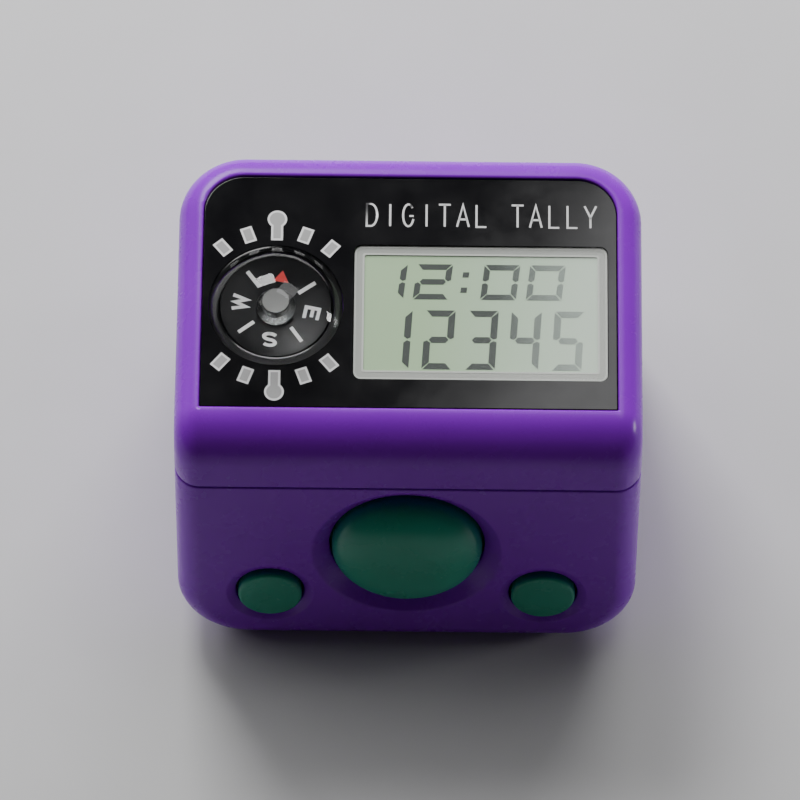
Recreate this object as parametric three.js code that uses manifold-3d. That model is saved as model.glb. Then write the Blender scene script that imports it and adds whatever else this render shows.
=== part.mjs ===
// A hand tally counter: a wedge-shaped plastic case with a liquid-crystal display and a bubble
// compass on top, and one large and two small push buttons on its leaning front face.
//
// Frame: millimetres, +Z up (out of the display face), +X to the user's right, -Y towards the
// buttons. The origin is the centre of the case's underside.

import * as THREE from "three";
import { mergeVertices } from "three/addons/utils/BufferGeometryUtils.js";
import Module from "manifold-3d";

const wasm = await Module();
wasm.setup();

// ---------------------------------------------------------------- driving dimensions

const WIDTH = 38;
const DEPTH = 32.2;
const HEIGHT = 26;
const LEAN = THREE.MathUtils.degToRad(12.5); // the front face leans back from the vertical
const SEAM_Z = 20.3; // parting line between the two case halves
const SEAM_GAP = 0.1;
const WALL = 1.4;
const FLOOR = 1.5; // thickness of the underside
const ROOF_Z = 23.6; // inner side of the top wall
const GAP = 0.1; // between parts that rest on each other

const NOSE_R = 4; // edge between display face and front face
const SIDE_R = 2.2; // top edges at the sides and rear
const BASE_R = 2.1; // edges of the underside, and the upright front edges
const REAR_CORNER_R = 5.5; // upright rear edges, seen from above
const LOW_CORNER_R = 6; // lower corners, seen from the front

const PANEL = { width: 33.8, depth: 21.2, y: 3.1, floorZ: 25, topZ: 25.85, cornerR: 3.3, thick: 0.7 };
const WINDOW = { x: 5.8, y: 1.3, width: 20.7, depth: 12.3, cornerR: 0.7 };
const LCD = { width: 20.4, depth: 12.8, rearDepth: 10.6, topZ: 24.9, glass: 0.5 };
const COMPASS = { x: -10.9, y: 1.8, domeR: 5.45, domeRise: 3, cupR: 5, wall: 0.6 };
const BOARD = { halfWidth: 15.4, frontY: -9.1, rearY: 9, underZ: 20, topZ: 21 };
const BOARD_SCREW = { x: 13.6, y: -7.9 };
const CASE_SCREW = { x: 12.2, y: 11.6, seatZ: 13 };
const CELL = { y: 2, radius: 5.8, height: 5.4, underZ: 2.4 };
const DOOR = { radius: 8.25, underZ: 0.15, flangeTop: 0.85, spigotR: 6.8, topZ: 2.3, lugR: 8 };

// Places on the front face are measured down it from the sharp edge that the nose rounds off.
const MAIN_BUTTON = { x: 0, down: 14.2, capR: 6.2, flangeR: 7.3, travel: 1 };
const SIDE_BUTTON = { x: 11.3, down: 19.7, capR: 2.65, flangeR: 3.4 };
const BUTTON_CLEARANCE = 0.2;
const MAIN_RECESS = { radius: 7.8, depth: 1 };
const SIDE_RECESS = { radius: 3.6, depth: 0.35 };
const KEYPAD_TOP = -3.3; // outer end of the rubber domes, behind the front face
const KEYPAD_BOARD = -6; // front side of the button board
const KEYPAD_BOARD_THICK = 1;

const ROUND = 40; // segments of a full circle
const FINE = 48;

const COLOURS = {
  purple: { color: 0x5a2a9c, roughness: 0.38, metalness: 0 },
  green: { color: 0x1c6b4c, roughness: 0.4, metalness: 0 },
  blackGloss: { color: 0x0b0b0d, roughness: 0.15, metalness: 0 },
  black: { color: 0x151517, roughness: 0.5, metalness: 0 },
  clear: { color: 0xdfe6e2, roughness: 0.05, metalness: 0, transparent: true, opacity: 0.35 },
  displayGlass: { color: 0xb4c4ac, roughness: 0.1, metalness: 0 },
  foil: { color: 0xb9bfb8, roughness: 0.35, metalness: 0.7 },
  tape: { color: 0xd8d4c4, roughness: 0.8, metalness: 0 },
  whitePlastic: { color: 0xe4e2da, roughness: 0.5, metalness: 0 },
  elastomer: { color: 0x55606b, roughness: 0.8, metalness: 0 },
  circuitBoard: { color: 0x1d5a34, roughness: 0.45, metalness: 0 },
  epoxy: { color: 0x101010, roughness: 0.3, metalness: 0 },
  steel: { color: 0xb4b6b8, roughness: 0.3, metalness: 1 },
  brass: { color: 0xc9a552, roughness: 0.35, metalness: 1 },
  silicone: { color: 0xc9c6bd, roughness: 0.7, metalness: 0 },
  carbon: { color: 0x202020, roughness: 0.9, metalness: 0 },
  ribbon: { color: 0xc8862c, roughness: 0.5, metalness: 0 },
  redWire: { color: 0xa01c18, roughness: 0.5, metalness: 0 },
  blackWire: { color: 0x181818, roughness: 0.5, metalness: 0 },
};

const X = new THREE.Vector3(1, 0, 0);
const Y = new THREE.Vector3(0, 1, 0);
const Z = new THREE.Vector3(0, 0, 1);

// ---------------------------------------------------------------- solids and booleans

function solidOf(geometry) {
  const bare = geometry.clone();
  bare.deleteAttribute("normal");
  bare.deleteAttribute("uv");
  const merged = mergeVertices(bare, 1e-4);
  const mesh = new wasm.Mesh({
    numProp: 3,
    vertProperties: merged.attributes.position.array,
    triVerts: new Uint32Array(merged.index.array),
  });
  return new wasm.Manifold(mesh);
}

function geometryOf(solid) {
  const mesh = solid.getMesh();
  const geometry = new THREE.BufferGeometry();
  geometry.setAttribute("position", new THREE.BufferAttribute(new Float32Array(mesh.vertProperties), 3));
  geometry.setIndex(new THREE.BufferAttribute(new Uint32Array(mesh.triVerts), 1));
  geometry.computeVertexNormals();
  return geometry;
}

function cut(solid, ...tools) {
  return tools.reduce((left, tool) => left.subtract(tool), solid);
}

function join(solid, ...others) {
  return others.reduce((whole, other) => whole.add(other), solid);
}

function box(x0, x1, y0, y1, z0, z1) {
  const geometry = new THREE.BoxGeometry(x1 - x0, y1 - y0, z1 - z0);
  geometry.translate((x0 + x1) / 2, (y0 + y1) / 2, (z0 + z1) / 2);
  return solidOf(geometry);
}

// A solid of revolution about +Z. The profile is [radius, z] from low to high, closed on the axis.
function turned(profile, segments = ROUND) {
  const points = profile.map(([r, z]) => new THREE.Vector2(r, z));
  const geometry = new THREE.LatheGeometry(points, segments);
  geometry.rotateX(Math.PI / 2);
  return solidOf(geometry);
}

function cylinder(radius, z0, z1, segments = ROUND) {
  return turned([[0, z0], [radius, z0], [radius, z1], [0, z1]], segments);
}

function moved(solid, x, y, z = 0) {
  return solid.translate([x, y, z]);
}

// ---------------------------------------------------------------- outlines

// The points of a polygon, given anticlockwise as [x, y, radius], with its corners rounded.
function roundedPoints(corners, steps) {
  const points = [];
  corners.forEach(([x, y, radius], i) => {
    const here = new THREE.Vector2(x, y);
    if (radius < 0.01) {
      points.push(here);
      return;
    }
    const before = corners[(i + corners.length - 1) % corners.length];
    const after = corners[(i + 1) % corners.length];
    const back = new THREE.Vector2(before[0], before[1]).sub(here).normalize();
    const ahead = new THREE.Vector2(after[0], after[1]).sub(here).normalize();
    const half = Math.acos(THREE.MathUtils.clamp(back.dot(ahead), -1, 1)) / 2;
    const centre = back.clone().add(ahead).normalize().multiplyScalar(radius / Math.sin(half)).add(here);
    const start = here.clone().addScaledVector(back, radius / Math.tan(half)).sub(centre);
    const turn = Math.PI - 2 * half;
    for (let k = 0; k <= steps; k++) {
      points.push(start.clone().rotateAround(new THREE.Vector2(), (turn * k) / steps).add(centre));
    }
  });
  return points;
}

function plate(points, z0, z1) {
  const geometry = new THREE.ExtrudeGeometry(new THREE.Shape(points), { depth: z1 - z0, bevelEnabled: false });
  geometry.translate(0, 0, z0);
  return solidOf(geometry);
}

function roundedRectangle(x, y, width, depth, radius, steps = 4) {
  const [w, d] = [width / 2, depth / 2];
  return roundedPoints(
    [[x - w, y - d, radius], [x + w, y - d, radius], [x + w, y + d, radius], [x - w, y + d, radius]],
    steps,
  );
}

// The face panel's outline: square corners along the nose, round ones at the rear.
function panelOutline(inset) {
  const halfWidth = PANEL.width / 2 - inset;
  const front = PANEL.y - PANEL.depth / 2 + inset;
  const rear = PANEL.y + PANEL.depth / 2 - inset;
  const corner = PANEL.cornerR - inset;
  return roundedPoints(
    [[-halfWidth, front, 0], [halfWidth, front, 0], [halfWidth, rear, corner], [-halfWidth, rear, corner]],
    5,
  );
}

// ---------------------------------------------------------------- the case's outer form

// The sharp corner under the front face lies a little ahead of the rounded case.
const FOOT_Y = -DEPTH / 2 - BASE_R * ((1 + Math.sin(LEAN)) / Math.cos(LEAN) - 1);
const NOSE_Y = FOOT_Y + HEIGHT * Math.tan(LEAN); // the sharp corner that the nose rounds off

// The case's form with every wall moved in by inset: its side, top and front outlines crossed.
function caseForm(inset) {
  const low = inset;
  const high = HEIGHT - inset;
  const halfWidth = WIDTH / 2 - inset;
  const rear = DEPTH / 2 - inset;
  const frontAt = (z) => FOOT_Y + z * Math.tan(LEAN) + inset / Math.cos(LEAN);
  const lessInset = (radius) => Math.max(radius - inset, 0.3);

  const side = roundedPoints(
    [
      [frontAt(low), low, lessInset(BASE_R)],
      [rear, low, lessInset(BASE_R)],
      [rear, high, lessInset(SIDE_R)],
      [frontAt(high), high, lessInset(NOSE_R)],
    ],
    5,
  );
  const top = roundedPoints(
    [
      [-halfWidth, frontAt(low) - 4, 0],
      [halfWidth, frontAt(low) - 4, 0],
      [halfWidth, rear, lessInset(REAR_CORNER_R)],
      [-halfWidth, rear, lessInset(REAR_CORNER_R)],
    ],
    6,
  );
  const front = roundedPoints(
    [
      [-halfWidth, low, lessInset(LOW_CORNER_R)],
      [halfWidth, low, lessInset(LOW_CORNER_R)],
      [halfWidth, high, lessInset(SIDE_R)],
      [-halfWidth, high, lessInset(SIDE_R)],
    ],
    6,
  );

  const across = new THREE.ExtrudeGeometry(new THREE.Shape(side), { depth: WIDTH, bevelEnabled: false });
  across.translate(0, 0, -WIDTH / 2);
  across.applyMatrix4(new THREE.Matrix4().makeBasis(Y, Z, X));
  const through = new THREE.ExtrudeGeometry(new THREE.Shape(front), { depth: 2 * DEPTH, bevelEnabled: false });
  through.translate(0, 0, -DEPTH);
  through.applyMatrix4(new THREE.Matrix4().makeBasis(X, Z, Y.clone().negate()));
  const form = solidOf(across).intersect(plate(top, low, high)).intersect(solidOf(through));
  return form.intersect(uprightFrontEdges(inset, halfWidth));
}

// Rounds the upright front edges, which lean with the front face.
function uprightFrontEdges(inset, halfWidth) {
  const radius = Math.max(BASE_R - inset, 0.3);
  const outline = roundedPoints(
    [
      [-halfWidth, inset / Math.cos(LEAN), radius],
      [halfWidth, inset / Math.cos(LEAN), radius],
      [halfWidth, 2 * DEPTH, 0],
      [-halfWidth, 2 * DEPTH, 0],
    ],
    4,
  );
  const geometry = new THREE.ExtrudeGeometry(new THREE.Shape(outline), { depth: 3 * HEIGHT, bevelEnabled: false });
  geometry.translate(0, 0, -HEIGHT);
  const shear = new THREE.Matrix4().set(1, 0, 0, 0, 0, 1, Math.tan(LEAN), FOOT_Y, 0, 0, 1, 0, 0, 0, 0, 1);
  geometry.applyMatrix4(shear);
  return solidOf(geometry);
}

function slab(z0, z1) {
  return box(-WIDTH, WIDTH, -DEPTH, DEPTH, z0, z1);
}

// ---------------------------------------------------------------- the front face's own frame

// Carries a solid whose +Z points out of the front face, and whose origin is a button's centre.
function frontMatrix({ x, down }) {
  const turn = new THREE.Matrix4().makeRotationX(Math.PI / 2 - LEAN);
  turn.setPosition(x, NOSE_Y - down * Math.sin(LEAN), HEIGHT - down * Math.cos(LEAN));
  return turn;
}

function onFront(solid, place) {
  return solid.transform(frontMatrix(place).elements);
}

const LEFT_BUTTON = { ...SIDE_BUTTON, x: -SIDE_BUTTON.x };
const RIGHT_BUTTON = SIDE_BUTTON;

// ---------------------------------------------------------------- case halves

function upperCase() {
  const shell = caseForm(0).subtract(caseForm(WALL).intersect(slab(0, ROOF_Z)));
  const half = shell.intersect(slab(SEAM_Z + SEAM_GAP / 2, HEIGHT + 1));
  const bossFoot = BOARD.topZ + GAP / 2;
  const boardBosses = [-1, 1].map((side) =>
    moved(cylinder(1.5, bossFoot, ROOF_Z + 0.2, 24), side * BOARD_SCREW.x, BOARD_SCREW.y));
  const caseBosses = [-1, 1].map((side) =>
    moved(cylinder(2.2, BOARD.underZ + GAP / 2, ROOF_Z + 0.2, 24), side * CASE_SCREW.x, CASE_SCREW.y));
  const screwHoles = [-1, 1].flatMap((side) => [
    moved(cylinder(0.8, 19, 23.2, 16), side * BOARD_SCREW.x, BOARD_SCREW.y),
    moved(cylinder(1.05, 19, 23, 16), side * CASE_SCREW.x, CASE_SCREW.y),
  ]);
  const openings = [
    plate(panelOutline(-0.1), PANEL.floorZ, HEIGHT + 1),
    moved(cylinder(COMPASS.cupR + 0.15, 20, HEIGHT, FINE), COMPASS.x, COMPASS.y),
    plate(roundedRectangle(WINDOW.x, WINDOW.y, LCD.width + 0.4, LCD.depth + 0.4, 0.3, 2), 20, HEIGHT),
  ];
  return cut(join(half, ...boardBosses, ...caseBosses), ...screwHoles, ...openings);
}

// The upright lip that lines the lower case up with the upper one.
function seamLip() {
  const [outer, inner] = [WALL + 0.1, WALL + 0.8];
  const standing = caseForm(outer).subtract(caseForm(inner)).intersect(slab(SEAM_Z - 1.5, SEAM_Z + 1.1));
  const root = caseForm(WALL - 0.1).subtract(caseForm(inner)).intersect(slab(SEAM_Z - 1.5, SEAM_Z - 0.1));
  return join(standing, root);
}

function buttonHole(place, recess) {
  const radius = place.capR + BUTTON_CLEARANCE;
  const profile = [
    [0, -6],
    [radius, -6],
    [radius, -recess.depth],
    [recess.radius, 0],
    [recess.radius, 3],
    [0, 3],
  ];
  return onFront(turned(profile, FINE), place);
}

function batteryWell() {
  const ceiling = CELL.underZ + CELL.height + 1.6;
  const outside = cylinder(9, FLOOR - 0.2, ceiling, FINE);
  const cavity = turned(
    [
      [0, FLOOR - 1],
      [DOOR.lugR + 0.2, FLOOR - 1],
      [DOOR.lugR + 0.2, DOOR.topZ + 0.2],
      [CELL.radius + 0.3, DOOR.topZ + 0.2],
      [CELL.radius + 0.3, ceiling - 0.8],
      [0, ceiling - 0.8],
    ],
    FINE,
  );
  const contactSlot = box(5.9, 6.9, -1.8, 1.8, 2.7, ceiling + 1);
  const leafSlot = box(-5.2, -3.2, -1.4, 1.4, 7, ceiling + 1);
  return { outside: moved(outside, 0, CELL.y), cuts: [cavity, contactSlot, leafSlot].map((s) => moved(s, 0, CELL.y)) };
}

// The door's opening: a ledge that the lugs hook over, with two notches that let them out.
function doorOpening() {
  const recess = cylinder(DOOR.radius + 0.15, -1, DOOR.flangeTop + 0.05, FINE);
  const throat = cylinder(DOOR.spigotR + 0.2, -1, FLOOR + 0.5, FINE);
  const notches = [0, 180].map((angle) => lug(DOOR.lugR + 0.15, -1, FLOOR + 0.3, 36, 45 + angle));
  return [recess, throat, ...notches].map((s) => moved(s, 0, CELL.y));
}

// A wedge-shaped sector of a disc, wide degrees wide and centred on middle degrees.
function lug(radius, z0, z1, wide, middle) {
  const points = [new THREE.Vector2(0, 0)];
  const steps = 6;
  for (let k = 0; k <= steps; k++) {
    const angle = THREE.MathUtils.degToRad(middle - wide / 2 + (wide * k) / steps);
    points.push(new THREE.Vector2(radius * Math.cos(angle), radius * Math.sin(angle)));
  }
  return plate(points, z0, z1);
}

function lowerCase() {
  const cavity = caseForm(WALL).intersect(slab(FLOOR, HEIGHT));
  const half = caseForm(0).subtract(cavity).intersect(slab(-1, SEAM_Z - SEAM_GAP / 2));
  const well = batteryWell();
  const buttonPad = onFront(cylinder(8.3, -2.4, -1, FINE), MAIN_BUTTON);
  const posts = [-1, 1].map((side) =>
    moved(cylinder(2.9, FLOOR - 0.2, BOARD.underZ - 0.1, 28), side * CASE_SCREW.x, CASE_SCREW.y));
  const rails = [-1, 1].map((side) => {
    const rail = box(Math.min(13.4 * side, 17.9 * side), Math.max(13.4 * side, 17.9 * side), -4.6, 6.4, -8.2, -7.15);
    return onFront(rail, MAIN_BUTTON);
  });
  const screwWays = [-1, 1].flatMap((side) => [
    moved(cylinder(2.1, -1, CASE_SCREW.seatZ, 28), side * CASE_SCREW.x, CASE_SCREW.y),
    moved(cylinder(1.2, 0, HEIGHT, 16), side * CASE_SCREW.x, CASE_SCREW.y),
  ]);
  const buttonHoles = [
    buttonHole(MAIN_BUTTON, MAIN_RECESS),
    buttonHole(LEFT_BUTTON, SIDE_RECESS),
    buttonHole(RIGHT_BUTTON, SIDE_RECESS),
  ];
  const whole = join(half, seamLip(), well.outside, buttonPad, ...posts, ...rails);
  return cut(whole, ...well.cuts, ...doorOpening(), ...screwWays, ...buttonHoles);
}

// ---------------------------------------------------------------- face panel and display

function facePanel() {
  const [low, high] = [PANEL.topZ - PANEL.thick, PANEL.topZ];
  const blank = plate(panelOutline(0), low, high);
  const windowHole = plate(
    roundedRectangle(WINDOW.x, WINDOW.y, WINDOW.width + 0.2, WINDOW.depth + 0.2, WINDOW.cornerR), low - 1, high + 1);
  const compassHole = moved(cylinder(COMPASS.domeR + 0.15, low - 1, high + 1, FINE), COMPASS.x, COMPASS.y);
  return cut(blank, windowHole, compassHole);
}

function panelTape() {
  const [low, high] = [PANEL.floorZ + 0.02, PANEL.topZ - PANEL.thick - 0.02];
  const blank = plate(panelOutline(0.3), low, high);
  const windowHole = plate(
    roundedRectangle(WINDOW.x, WINDOW.y, LCD.width + 0.7, LCD.depth + 0.6, 0.3, 2), low - 1, high + 1);
  const compassHole = moved(cylinder(COMPASS.domeR + 0.15, low - 1, high + 1), COMPASS.x, COMPASS.y);
  return cut(blank, windowHole, compassHole);
}

function displayWindow() {
  const outline = roundedRectangle(WINDOW.x, WINDOW.y, WINDOW.width, WINDOW.depth, WINDOW.cornerR);
  return plate(outline, PANEL.topZ - PANEL.thick, PANEL.topZ);
}

function centredBox(width, depth, z0, z1, y = WINDOW.y) {
  return box(WINDOW.x - width / 2, WINDOW.x + width / 2, y - depth / 2, y + depth / 2, z0, z1);
}

const REAR_GLASS_TOP = LCD.topZ - LCD.glass - 0.05;
const REFLECTOR_TOP = REAR_GLASS_TOP - LCD.glass - 0.05;
const HOLDER_TOP = REFLECTOR_TOP - 0.25;
const ZEBRA_Y = 5.85; // centre of each connector strip, from the middle of the display
const ZEBRA_WIDE = 0.9;

function lcdHolder() {
  const [low, high] = [BOARD.topZ + 0.05, HOLDER_TOP];
  const blank = centredBox(21.4, 14.6, low, high);
  const hollow = centredBox(19.6, 9.6, low - 1, high - 0.8);
  const slots = [-1, 1].map((side) =>
    centredBox(19.4, ZEBRA_WIDE + 0.3, low - 1, high + 1, WINDOW.y + side * ZEBRA_Y));
  return cut(blank, hollow, ...slots);
}

function zebraStrip(side) {
  return centredBox(19, ZEBRA_WIDE, BOARD.topZ + 0.05, LCD.topZ - LCD.glass - 0.05, WINDOW.y + side * ZEBRA_Y);
}

// ---------------------------------------------------------------- circuit boards

function mainBoard() {
  const width = 2 * BOARD.halfWidth;
  const middle = (BOARD.frontY + BOARD.rearY) / 2;
  const outline = roundedRectangle(0, middle, width, BOARD.rearY - BOARD.frontY, 0.8, 2);
  const holes = [-1, 1].map((side) =>
    moved(cylinder(1.1, 19, 22, 20), side * BOARD_SCREW.x, BOARD_SCREW.y));
  return cut(plate(outline, BOARD.underZ, BOARD.topZ), ...holes);
}

function chipBlob() {
  const [radius, drop] = [3.2, 1.2];
  const profile = [];
  for (let k = 0; k <= 5; k++) {
    const angle = ((Math.PI / 2) * k) / 5;
    profile.push([radius * Math.sin(angle), -drop * Math.cos(angle)]);
  }
  profile.push([0, 0]);
  return moved(turned(profile, 28), 3, 1, BOARD.underZ - 0.05);
}

function crystalCan() {
  const can = turned([[0, 0], [0.85, 0], [1, 0.15], [1, 5.8], [0.8, 6], [0, 6]], 20);
  return moved(can.rotate([0, 90, 0]), -11, 3.5, BOARD.underZ - 1.1);
}

function boardCapacitor(x, y) {
  return box(x - 1, x + 1, y - 0.6, y + 0.6, BOARD.underZ - 1, BOARD.underZ - 0.05);
}

function buttonBoard() {
  const [low, high] = [MAIN_BUTTON.down - 22.6, MAIN_BUTTON.down - 6.8];
  const outline = roundedRectangle(0, (low + high) / 2, 29.2, high - low, 1, 2);
  return onFront(plate(outline, KEYPAD_BOARD - KEYPAD_BOARD_THICK, KEYPAD_BOARD), MAIN_BUTTON);
}

// A strip of even thickness along a path of [y, z] points, width wide across X.
function strip(path, thick, x0, x1) {
  const points = path.map(([y, z]) => new THREE.Vector2(y, z));
  const sides = [1, -1].map((sign) =>
    points.map((p, i) => {
      const from = points[Math.max(i - 1, 0)];
      const to = points[Math.min(i + 1, points.length - 1)];
      const along = to.clone().sub(from).normalize();
      return new THREE.Vector2(-along.y, along.x).multiplyScalar((sign * thick) / 2).add(p);
    }));
  const shape = new THREE.Shape([...sides[1], ...sides[0].reverse()]);
  const geometry = new THREE.ExtrudeGeometry(shape, { depth: x1 - x0, bevelEnabled: false });
  geometry.translate(0, 0, x0);
  geometry.applyMatrix4(new THREE.Matrix4().makeBasis(Y, Z, X));
  return solidOf(geometry);
}

function ribbonCable() {
  const curve = new THREE.SplineCurve([
    new THREE.Vector2(-6.3, 13.2),
    new THREE.Vector2(-5.88, 15),
    new THREE.Vector2(-4.6, 17.6),
    new THREE.Vector2(-3, 18.3),
    new THREE.Vector2(-1.9, 19.3),
    new THREE.Vector2(-2.6, 19.85),
    new THREE.Vector2(-4.4, 19.87),
  ]);
  return strip(curve.getPoints(20).map((p) => [p.x, p.y]), 0.16, -10, -4);
}

// ---------------------------------------------------------------- battery and its contacts

function buttonCell() {
  const top = CELL.underZ + CELL.height;
  const cell = turned(
    [
      [0, CELL.underZ],
      [CELL.radius - 0.3, CELL.underZ],
      [CELL.radius, CELL.underZ + 0.3],
      [CELL.radius, top - 0.6],
      [CELL.radius - 0.9, top - 0.35],
      [CELL.radius - 0.9, top],
      [0, top],
    ],
    FINE,
  );
  return moved(cell, 0, CELL.y);
}

function positiveContact() {
  const blade = box(6.1, 6.35, -1.4, 1.4, 2.9, 10.6);
  const tab = box(6.1, 7.8, -0.6, 0.6, 10.4, 10.6);
  return moved(join(blade, tab), 0, CELL.y);
}

function negativeContact() {
  const leaf = strip([[-4.2, 9.3], [-4, 8.35], [-2, 8.1], [0, 7.95], [2, 8.1], [3.4, 8.35]], 0.2, -1.1, 1.1);
  return moved(leaf.rotate([0, 0, -90]), 0, CELL.y);
}

function wire(points, radius) {
  const curve = new THREE.CatmullRomCurve3(points.map((p) => new THREE.Vector3(...p)));
  const section = new THREE.Shape(
    Array.from({ length: 8 }, (_, k) => {
      const angle = (2 * Math.PI * k) / 8;
      return new THREE.Vector2(radius * Math.cos(angle), radius * Math.sin(angle));
    }),
  );
  return solidOf(new THREE.ExtrudeGeometry(section, { steps: 16, bevelEnabled: false, extrudePath: curve }));
}

const redWire = () =>
  wire([[7.3, CELL.y, 11], [7.6, 2.4, 12.6], [9, 3.4, 15], [9.6, 4, 17.6], [9.4, 4.2, 19.8]], 0.35);
const blackWire = () =>
  wire([[-4.2, CELL.y, 9.8], [-4.4, 2.6, 11.4], [-6, 4.6, 14], [-5.6, 6, 17], [-5, 6.2, 19.8]], 0.35);

// ---------------------------------------------------------------- battery door

function batteryDoor() {
  const disc = cylinder(DOOR.radius, DOOR.underZ, DOOR.flangeTop, FINE);
  const spigot = cylinder(DOOR.spigotR, DOOR.flangeTop - 0.2, DOOR.topZ, FINE);
  const lugs = [0, 180].map((angle) => lug(DOOR.lugR, FLOOR + 0.1, DOOR.topZ, 28, angle));
  const coinSlot = box(-5, 5, -0.9, 0.9, -1, DOOR.underZ + 0.7);
  return moved(cut(join(disc, spigot, ...lugs), coinSlot), 0, CELL.y);
}

// ---------------------------------------------------------------- screws

// A screw driven upwards: its head is below its seat, which is at z 0.
function screw(headR, headHigh, shankR, length) {
  const body = turned(
    [
      [0, -headHigh],
      [headR * 0.8, -headHigh],
      [headR, -headHigh * 0.6],
      [headR, 0],
      [shankR, 0],
      [shankR, length - 0.8],
      [shankR * 0.4, length],
      [0, length],
    ],
    24,
  );
  const slots = [box(-headR * 0.6, headR * 0.6, -0.2, 0.2, -headHigh - 1, -headHigh * 0.4),
    box(-0.2, 0.2, -headR * 0.6, headR * 0.6, -headHigh - 1, -headHigh * 0.4)];
  return cut(body, ...slots);
}

const caseScrew = (side) =>
  moved(screw(1.8, 1.1, 0.95, 9.6), side * CASE_SCREW.x, CASE_SCREW.y, CASE_SCREW.seatZ - 0.05);
const boardScrew = (side) =>
  moved(screw(1.45, 0.8, 0.7, 3), side * BOARD_SCREW.x, BOARD_SCREW.y, BOARD.underZ - 0.05);

// ---------------------------------------------------------------- push buttons

// The large button's crown: a flat-topped dome whose shoulder falls away steeply.
function mainButtonCap() {
  const { capR, flangeR } = MAIN_BUTTON;
  const [rim, crown] = [-0.9, 1.7];
  const profile = [[0, -3.2], [flangeR, -3.2], [flangeR, -2.5], [capR, -2.5], [capR, rim]];
  const steps = 9;
  for (let k = steps - 1; k > 0; k--) {
    const r = capR * Math.sin(((Math.PI / 2) * k) / steps);
    const fall = Math.pow(1 - Math.pow(r / capR, 2.6), 0.5);
    profile.push([r, rim + (crown - rim) * fall]);
  }
  profile.push([0, crown]);
  return onFront(turned(profile, FINE), MAIN_BUTTON);
}

function sideButtonCap(place) {
  const { capR, flangeR } = place;
  const profile = [
    [0, -3.2],
    [2, -3.2],
    [2, -2.2],
    [flangeR, -2.2],
    [flangeR, -1.5],
    [capR, -1.5],
    [capR, 0.2],
    [capR - 0.12, 0.38],
    [capR - 0.4, 0.5],
    [0, 0.6],
  ];
  return onFront(turned(profile, 32), place);
}

// A hollow rubber dome between a button and the button board.
function rubberDome(place, footR, headR) {
  const [foot, head] = [KEYPAD_BOARD + 0.05, KEYPAD_TOP];
  const wall = 0.6;
  const profile = [
    [footR - 1.4, foot],
    [footR, foot],
    [footR, foot + 0.5],
    [headR + 0.3, foot + 0.9],
    [headR, foot + 1.4],
    [headR, head],
    [0, head],
    [0, head - wall],
    [headR - wall, head - wall],
    [headR - wall, foot + 1.2],
    [footR - 1.4, foot],
  ];
  return onFront(turned(profile, 28), place);
}

function contactPill(place, radius, travel) {
  const high = KEYPAD_TOP - 0.65;
  return onFront(cylinder(radius, KEYPAD_BOARD + travel + 0.1, high, 20), place);
}

// ---------------------------------------------------------------- compass

const CAP_BASE_Z = PANEL.topZ;

function compassPart(profile, segments = FINE) {
  return moved(turned(profile, segments), COMPASS.x, COMPASS.y);
}

function compassCup() {
  const { cupR, wall, domeR } = COMPASS;
  const [floor, rim] = [21.5, PANEL.floorZ + 0.05];
  return compassPart([
    [0, floor],
    [cupR, floor],
    [cupR, rim],
    [domeR, rim],
    [domeR, rim + 0.2],
    [cupR - wall, rim + 0.2],
    [cupR - wall, floor + 0.8],
    [0, floor + 0.8],
  ]);
}

// A spherical cap of the dome's rim radius, lowered or thinned by inset.
function domeArc(inset, steps) {
  const { domeR, domeRise } = COMPASS;
  const sphere = (domeR * domeR + domeRise * domeRise) / (2 * domeRise);
  const centre = CAP_BASE_Z + domeRise - sphere;
  const radius = sphere - inset;
  const opening = Math.asin((domeR - inset) / radius);
  return Array.from({ length: steps + 1 }, (_, k) => {
    const angle = opening * (1 - k / steps);
    return [radius * Math.sin(angle), centre + radius * Math.cos(angle)];
  });
}

function compassDome() {
  const { domeR, wall } = COMPASS;
  const foot = PANEL.floorZ + 0.3;
  const outside = domeArc(0, 8);
  const inside = domeArc(wall, 6).reverse();
  return compassPart([[domeR - wall, foot], [domeR, foot], ...outside, ...inside, [domeR - wall, foot]]);
}

const compassPivot = () => compassPart([[0, 22.35], [0.3, 22.35], [0.3, 24.8], [0.05, 25.25], [0, 25.25]], 12);
const compassMagnet = () => compassPart([[1, 23.7], [2.6, 23.7], [2.6, 24.5], [1, 24.5], [1, 23.7]], 32);
const compassDial = () => compassPart([[0.5, 24.55], [3.9, 24.55], [3.9, 24.8], [0.5, 24.8], [0.5, 24.55]]);
const compassHub = () =>
  compassPart([
    [0.45, 24.85],
    [1.35, 24.85],
    [1.3, 25.05],
    [0.95, 25.85],
    [0.85, 25.95],
    [0, 25.98],
    [0, 25.4],
    [0.45, 25],
    [0.45, 24.85],
  ], 28);

// ---------------------------------------------------------------- assembly

const counter = new THREE.Group();

function add(name, solid, look) {
  const mesh = new THREE.Mesh(geometryOf(solid), new THREE.MeshStandardMaterial(COLOURS[look]));
  mesh.name = name;
  counter.add(mesh);
}

add("upper_case", upperCase(), "purple");
add("lower_case", lowerCase(), "purple");
add("face_panel", facePanel(), "blackGloss");
add("panel_tape", panelTape(), "tape");
add("display_window", displayWindow(), "clear");
add("lcd_front_glass", centredBox(LCD.width, LCD.depth, LCD.topZ - LCD.glass, LCD.topZ), "displayGlass");
add(
  "lcd_rear_glass",
  centredBox(LCD.width, LCD.rearDepth, REAR_GLASS_TOP - LCD.glass, REAR_GLASS_TOP),
  "displayGlass",
);
add("lcd_reflector", centredBox(LCD.width, LCD.rearDepth, REFLECTOR_TOP - 0.15, REFLECTOR_TOP), "foil");
add("lcd_holder", lcdHolder(), "whitePlastic");
add("zebra_strip_front", zebraStrip(-1), "elastomer");
add("zebra_strip_rear", zebraStrip(1), "elastomer");

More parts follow.
